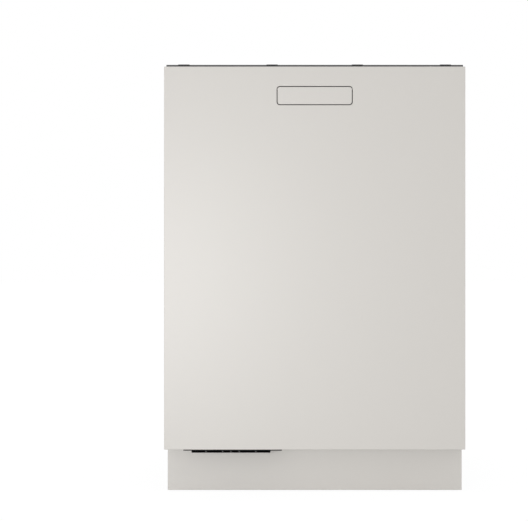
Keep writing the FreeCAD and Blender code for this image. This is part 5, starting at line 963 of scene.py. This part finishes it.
class DISHWASHER_OT_lower_rack(bpy.types.Operator):
    """Lower rack with its plate tines, the folding row and the wheel brackets"""

    bl_idname = "dishwasher.lower_rack"
    bl_label = "Lower rack"

    def execute(self, context):
        pitch = context.scene.dishwasher_look.tine_pitch
        tine_level, tine_height, row_half = 0.1951, 0.068, 0.2292
        basket("lower_rack", front=behind(80), back=behind(516), half=0.237, low=0.1847, high=0.3267,
               across_count=15, along_count=17)
        bm = bmesh.new()
        for y in (156, 332, 420):
            tine_row(bm, behind(y), tine_level, row_half, tine_height, pitch)
        make_piece("lower_rack_tines", bm, "lower_rack", coated())
        bm = bmesh.new()
        tine_row(bm, behind(244), tine_level, row_half, tine_height, pitch)
        make_piece("folding_tine_row", bm, "folding_tines", coated(), ["folding_tines"])
        bracket_inside, bracket_outside, bracket_foot, bracket_half = 0.2373, 0.2423, 0.1543, 9
        boss_end, boss_radius, axle_end, axle_radius = 0.2432, 0.0065, 0.254, 0.0039
        bm = bmesh.new()
        for y in (FRONT_AXLE, REAR_AXLE):
            for side in (-1, 1):
                left, right = sorted((side * bracket_inside, side * bracket_outside))
                slab(bm, (left, behind(y - bracket_half), bracket_foot),
                     (right, behind(y + bracket_half), tine_level), "X", 0.007, 0.0006)
                start = (side * bracket_outside, behind(y), AXLE_LEVEL)
                for end, radius in ((boss_end, boss_radius), (axle_end, axle_radius)):
                    rod(bm, start, (side * end, behind(y), AXLE_LEVEL), radius, 20)
        make_piece("wheel_brackets", bm, "lower_rack", plastic("grey_plastic"))
        return {"FINISHED"}


class DISHWASHER_OT_wheels(bpy.types.Operator):
    """Rack wheels with a dished face"""

    bl_idname = "dishwasher.wheels"
    bl_label = "Rack wheels"

    def execute(self, context):
        section = [(0.0041, 0.2434), (0.0068, 0.2434), (0.0068, 0.2452), (0.0135, 0.2452),
                   (0.0142, 0.2436), (0.0182, 0.2434), (0.019, 0.2442), (0.019, 0.2535),
                   (0.0182, 0.2543), (0.0142, 0.2541), (0.0135, 0.2514), (0.0068, 0.2514),
                   (0.0068, 0.2541), (0.0041, 0.2541), (0.0041, 0.2434)]
        for node, y in (("lower_front_wheels", FRONT_AXLE), ("lower_rear_wheels", REAR_AXLE)):
            bm = bmesh.new()
            for side in (-1, 1):
                profile = [(radius, side * along) for radius, along in section]
                turned(bm, profile, (0, behind(y), AXLE_LEVEL), "X", 44)
            make_piece(node + "_dished", bm, node, plastic("grey_plastic"), [node])
        return {"FINISHED"}


class DISHWASHER_OT_upper_rack(bpy.types.Operator):
    """Upper rack with cup tines and rail clips, and the folding cup shelf"""

    bl_idname = "dishwasher.upper_rack"
    bl_label = "Upper rack"

    def execute(self, context):
        pitch = context.scene.dishwasher_look.tine_pitch * 1.25
        tine_level, tine_height, row_half = 0.4404, 0.044, 0.2272
        basket("upper_rack", front=behind(84), back=behind(508), half=0.235, low=0.430, high=0.558,
               across_count=14, along_count=17)
        bm = bmesh.new()
        for y in (184, 304, 424):
            tine_row(bm, behind(y), tine_level, row_half, tine_height, pitch)
        make_piece("cup_tines", bm, "upper_rack", coated())
        clip_inside, clip_outside, clip_length = 0.2353, 0.2437, 22
        clip_low, clip_high = 0.482, 0.498
        bm = bmesh.new()
        for y in (144, 426):
            for side in (-1, 1):
                left, right = sorted((side * clip_inside, side * clip_outside))
                slab(bm, (left, behind(y), clip_low), (right, behind(y + clip_length), clip_high), "X",
                     0.004, 0.0008)
        make_piece("rail_clips", bm, "upper_rack", plastic("grey_plastic"))
        dress("cup_shelf", plastic("grey_plastic"), 0.0009, 3)
        return {"FINISHED"}


class DISHWASHER_OT_cutlery_tray(bpy.types.Operator):
    """Shallow cutlery tray with combs and runners"""

    bl_idname = "dishwasher.cutlery_tray"
    bl_label = "Cutlery tray"

    def execute(self, context):
        front, back = behind(86), behind(498)
        basket("cutlery_tray", front=front, back=back, half=0.239, low=0.753, high=0.791,
               across_count=18, along_count=21, middle_ring=False)
        comb_half, comb_level, teeth_half, teeth_top, teeth = 0.229, 0.7632, 0.216, 0.776, 19
        bm = bmesh.new()
        for y in (150, 200, 250, 300, 350, 400, 450):
            rod(bm, (-comb_half, behind(y), comb_level), (comb_half, behind(y), comb_level), 0.0015, 8)
            for x in spaced(-teeth_half, teeth_half, teeth):
                rod(bm, (x, behind(y), comb_level), (x, behind(y), teeth_top), 0.0012, 6, 0.0009)
        make_piece("cutlery_combs", bm, "cutlery_tray", coated())
        runner_inside, runner_outside, runner_low, runner_high = 0.2393, 0.2671, 0.7647, 0.7793
        bm = bmesh.new()
        for side in (-1, 1):
            left, right = sorted((side * runner_inside, side * runner_outside))
            slab(bm, (left, front, runner_low), (right, back, runner_high), "Y", 0.002, 0.0008)
        make_piece("tray_runners", bm, "cutlery_tray", plastic("grey_plastic"))
        return {"FINISHED"}


class DISHWASHER_OT_rails(bpy.types.Operator):
    """Telescopic rails of the upper rack and the channels of the tray"""

    bl_idname = "dishwasher.rails"
    bl_label = "Rails"

    def execute(self, context):
        steel = finish("rail_steel", slot_colours["rail_steel"], 0.24, 1.0, grain=80.0,
                       stretch=(1, 0.05, 1))
        for node in ("upper_rail_outer", "upper_rail_middle", "upper_rail_inner", "tray_rail_outer"):
            dress(node, steel, 0.0003)
        return {"FINISHED"}


def blade_width(far):
    """Half the width of a spray arm's blade, from its root at nought to its tip at one."""
    root, tip = 0.025, 0.013
    return root + (tip - root) * far


def blade_crown(side, far):
    """The share of its full thickness that a blade has at a place on it."""
    return 1 - 0.42 * abs(side) ** 3 - 0.12 * far


def blades(bm, reach, thick, sweep):
    """The two blades of an arm, crowned, swept and rounded off at their tips."""
    bmesh.ops.create_cube(bm, size=1.0)
    bmesh.ops.scale(bm, vec=(2, 2, 1), verts=bm.verts)
    long_edges = [edge for edge in bm.edges if abs(edge.verts[0].co.x - edge.verts[1].co.x) > 0.5]
    bmesh.ops.subdivide_edges(bm, edges=long_edges, cuts=47, use_grid_fill=True)
    wide_edges = [edge for edge in bm.edges if abs(edge.verts[0].co.y - edge.verts[1].co.y) > 0.5]
    bmesh.ops.subdivide_edges(bm, edges=wide_edges, cuts=7, use_grid_fill=True)
    hub_share, tip_share = 0.1, 0.05
    for vert in bm.verts:
        along, side, level = vert.co
        far = abs(along)
        width = blade_width(far)
        if far > 1 - tip_share:
            past = (far - (1 - tip_share)) / tip_share
            width *= math.sqrt(max(0.0, 1 - past ** 2)) * 0.75 + 0.25
        crown = blade_crown(side, far)
        if far < hub_share:
            crown = min(1.0, crown + 0.2)
        vert.co = Vector((along * reach, side * width + sweep * along * far, level * thick * crown))


def hub_profile(low, open_below):
    """The profile of an arm's hub: a puck with a bearing hole in one side."""
    top = low + 0.015
    bore, bore_depth = 0.0061, 0.0103
    if open_below:
        return [(0, low + bore_depth), (bore, low + bore_depth), (bore, low), (0.0182, low),
                (0.019, low + 0.0008), (0.019, top - 0.001), (0.018, top), (0, top)]
    return [(0, low), (0.018, low), (0.019, low + 0.001), (0.019, top - 0.0008), (0.0182, top),
            (bore, top), (bore, top - bore_depth), (0, top - bore_depth)]


def spray_arm(name, node, floor, reach, hub_down, jets_up, jets):
    """A two-bladed arm with its hub and a row of slotted jets on each blade."""
    thick, sweep = 0.009, 0.016
    middle = floor + thick / 2
    bm = bmesh.new()
    blades(bm, reach, thick, sweep)
    bmesh.ops.translate(bm, verts=bm.verts, vec=(0, behind(ARM_AXIS), middle))
    turned(bm, hub_profile(floor - 0.006 if hub_down else floor, hub_down), (0, behind(ARM_AXIS), 0),
           "Z", 40)
    way = 1 if jets_up else -1
    first, last = 0.26, 0.92
    jet_height, jet_foot, jet_mouth = 0.0013, 0.0046, 0.0038
    slot_half, slot_thick, slot_raise = 0.0028, 0.0007, 0.0001
    for side in (-1, 1):
        for k in range(jets):
            far = first + (last - first) * k / (jets - 1)
            along = side * far
            across = blade_width(far) * (0.45 if k % 2 else -0.4)
            level = middle + way * (thick / 2) * blade_crown(0.45, far)
            spot = Vector((along * reach, behind(ARM_AXIS) + across + sweep * along * far,
                           level - way * 0.0006))
            top = spot + Vector((0, 0, way * jet_height))
            rod(bm, spot, top, jet_foot, 16, jet_mouth)
            slot = top + Vector((0, 0, way * slot_raise))
            slab(bm, (slot.x - slot_half, slot.y - slot_thick, slot.z - slot_raise),
                 (slot.x + slot_half, slot.y + slot_thick, slot.z + slot_raise), "Z", 0.0006)
    bmesh.ops.recalc_face_normals(bm, faces=bm.faces)
    make_piece(name, bm, node, plastic("grey_plastic"), [node], sharp=45)


class DISHWASHER_OT_spray_arms(bpy.types.Operator):
    """Lower, upper and top spray arms"""

    bl_idname = "dishwasher.spray_arms"
    bl_label = "Spray arms"

    def execute(self, context):
        spray_arm("lower_arm_blades", "lower_spray_arm", floor=0.1523, reach=0.222, hub_down=True,
                  jets_up=True, jets=6)
        spray_arm("upper_arm_blades", "upper_spray_arm", floor=0.4004, reach=0.205, hub_down=False,
                  jets_up=True, jets=6)
        spray_arm("top_arm_blades", "top_spray_arm", floor=0.8064, reach=0.118, hub_down=False,
                  jets_up=False, jets=4)
        return {"FINISHED"}


# Stage


def background_share(nodes, links):
    """One for the rays that see the white background, and nought for the rays that carry light."""
    path = nodes.new("ShaderNodeLightPath")
    share = path.outputs["Is Camera Ray"]
    for socket in ("Is Glossy Ray", "Is Transmission Ray"):
        either = nodes.new("ShaderNodeMath")
        either.operation = "MAXIMUM"
        links.new(share, either.inputs[0])
        links.new(path.outputs[socket], either.inputs[1])
        share = either.outputs[0]
    return share


def either_of(nodes, links, share, lit, seen, surface):
    """Joins the shader that carries light and the one that is seen to a surface."""
    mix = nodes.new("ShaderNodeMixShader")
    links.new(share, mix.inputs["Fac"])
    links.new(lit.outputs[0], mix.inputs[1])
    links.new(seen.outputs[0], mix.inputs[2])
    links.new(mix.outputs[0], surface)


def white_room(scene, level):
    """Even light from all round, seen as plain white."""
    world = bpy.data.worlds.new("room")
    scene.world = world
    world.use_nodes = True
    nodes, links = world.node_tree.nodes, world.node_tree.links
    room = nodes["Background"]
    room.inputs["Color"].default_value = (1, 1, 1, 1)
    room.inputs["Strength"].default_value = level
    white = nodes.new("ShaderNodeBackground")
    white.inputs["Color"].default_value = (1, 1, 1, 1)
    white.inputs["Strength"].default_value = 1.0
    either_of(nodes, links, background_share(nodes, links), room, white,
              nodes["World Output"].inputs["Surface"])


def pale_floor(scene):
    """A wide pale floor that fades into the background and still takes the machine's shadow."""
    half_size, fade, glow_level = 14, 0.9, 1.06
    bm = bmesh.new()
    bmesh.ops.create_grid(bm, x_segments=1, y_segments=1, size=half_size)
    mesh = bpy.data.meshes.new("floor")
    bm.to_mesh(mesh)
    bm.free()
    floor = bpy.data.objects.new("floor", mesh)
    scene.collection.objects.link(floor)
    material = bpy.data.materials.new("pale_floor")
    material.use_nodes = True
    nodes, links = material.node_tree.nodes, material.node_tree.links
    shader = nodes["Principled BSDF"]
    shader.inputs["Base Color"].default_value = (0.86, 0.86, 0.86, 1)
    shader.inputs["Roughness"].default_value = 0.9
    glow = nodes.new("ShaderNodeEmission")
    glow.inputs["Strength"].default_value = glow_level
    share = nodes.new("ShaderNodeMath")
    share.operation = "MULTIPLY"
    share.inputs[1].default_value = fade
    links.new(background_share(nodes, links), share.inputs[0])
    either_of(nodes, links, share.outputs[0], shader, glow, nodes["Material Output"].inputs["Surface"])
    mesh.materials.append(material)


def left_lamp(scene, power):
    """A soft round lamp low at the left of the camera."""
    lamp = bpy.data.lights.new("left_lamp", "AREA")
    lamp.shape = "DISK"
    lamp.size = 0.5
    lamp.energy = power
    holder = bpy.data.objects.new("left_lamp", lamp)
    scene.collection.objects.link(holder)
    holder.location = (-0.68, FACE - 2.4, 0.36)
    aim = Vector((0.0, FACE, 0.45)) - holder.location
    holder.rotation_mode = "QUATERNION"
    holder.rotation_quaternion = aim.to_track_quat("-Z", "Y")


def front_camera(scene):
    """A level camera in front of the door, shifted so that the door stands where the photo has it."""
    image_width, millimetres_per_pixel = 528, 1.9774
    door_middle, rise = 314.7, 16.55
    distance, height = 2.6, 0.5
    camera = bpy.data.cameras.new("camera")
    camera.sensor_width = 36.0
    seen_width = image_width * millimetres_per_pixel * MM
    camera.lens = camera.sensor_width / 2 * distance / (seen_width / 2)
    camera.shift_x = -(door_middle - image_width / 2) / image_width
    camera.shift_y = -rise / image_width
    camera.clip_end = 50
    eye = bpy.data.objects.new("camera", camera)
    scene.collection.objects.link(eye)
    eye.location = (0.0, FACE - distance, height)
    eye.rotation_euler = (math.radians(90), 0, 0)
    scene.camera = eye


class DISHWASHER_OT_stage(bpy.types.Operator):
    """Pale floor, even room light, a soft lamp at the left and the camera"""

    bl_idname = "dishwasher.stage"
    bl_label = "Stage"

    def execute(self, context):
        scene = context.scene
        settings = scene.dishwasher_look
        scene.view_settings.view_transform = "Standard"
        white_room(scene, settings.sky_level)
        pale_floor(scene)
        left_lamp(scene, settings.lamp_power)
        front_camera(scene)
        return {"FINISHED"}


operators = (
    DISHWASHER_OT_door_front,
    DISHWASHER_OT_door_inside,
    DISHWASHER_OT_controls,
    DISHWASHER_OT_vent,
    DISHWASHER_OT_seals,
    DISHWASHER_OT_cabinet,
    DISHWASHER_OT_felt,
    DISHWASHER_OT_tub,
    DISHWASHER_OT_base,
    DISHWASHER_OT_wash_system,
    DISHWASHER_OT_hinges,
    DISHWASHER_OT_lower_rack,
    DISHWASHER_OT_wheels,
    DISHWASHER_OT_upper_rack,
    DISHWASHER_OT_cutlery_tray,
    DISHWASHER_OT_rails,
    DISHWASHER_OT_spray_arms,
    DISHWASHER_OT_stage,
)


class DISHWASHER_PT_pieces(bpy.types.Panel):
    """Lists the pieces and the settings in the sidebar"""

    bl_idname = "DISHWASHER_PT_pieces"
    bl_label = "Dishwasher"
    bl_space_type = "VIEW_3D"
    bl_region_type = "UI"
    bl_category = "Dishwasher"

    def draw(self, context):
        settings = context.scene.dishwasher_look
        for name in settings.__annotations__:
            self.layout.prop(settings, name)
        for operator in operators:
            self.layout.operator(operator.bl_idname)


def register():
    bpy.utils.register_class(DishwasherLook)
    for operator in operators:
        bpy.utils.register_class(operator)
    bpy.utils.register_class(DISHWASHER_PT_pieces)
    bpy.types.Scene.dishwasher_look = bpy.props.PointerProperty(type=DishwasherLook)


def unregister():
    del bpy.types.Scene.dishwasher_look
    bpy.utils.unregister_class(DISHWASHER_PT_pieces)
    for operator in reversed(operators):
        bpy.utils.unregister_class(operator)
    bpy.utils.unregister_class(DishwasherLook)


def main():
    """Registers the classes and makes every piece."""
    register()
    for thing in [item for item in bpy.context.scene.objects if item.type in ("LIGHT", "CAMERA")]:
        bpy.data.objects.remove(thing)
    for operator in operators:
        group, name = operator.bl_idname.split(".")
        getattr(getattr(bpy.ops, group), name)()


if __name__ == "__main__":
    main()
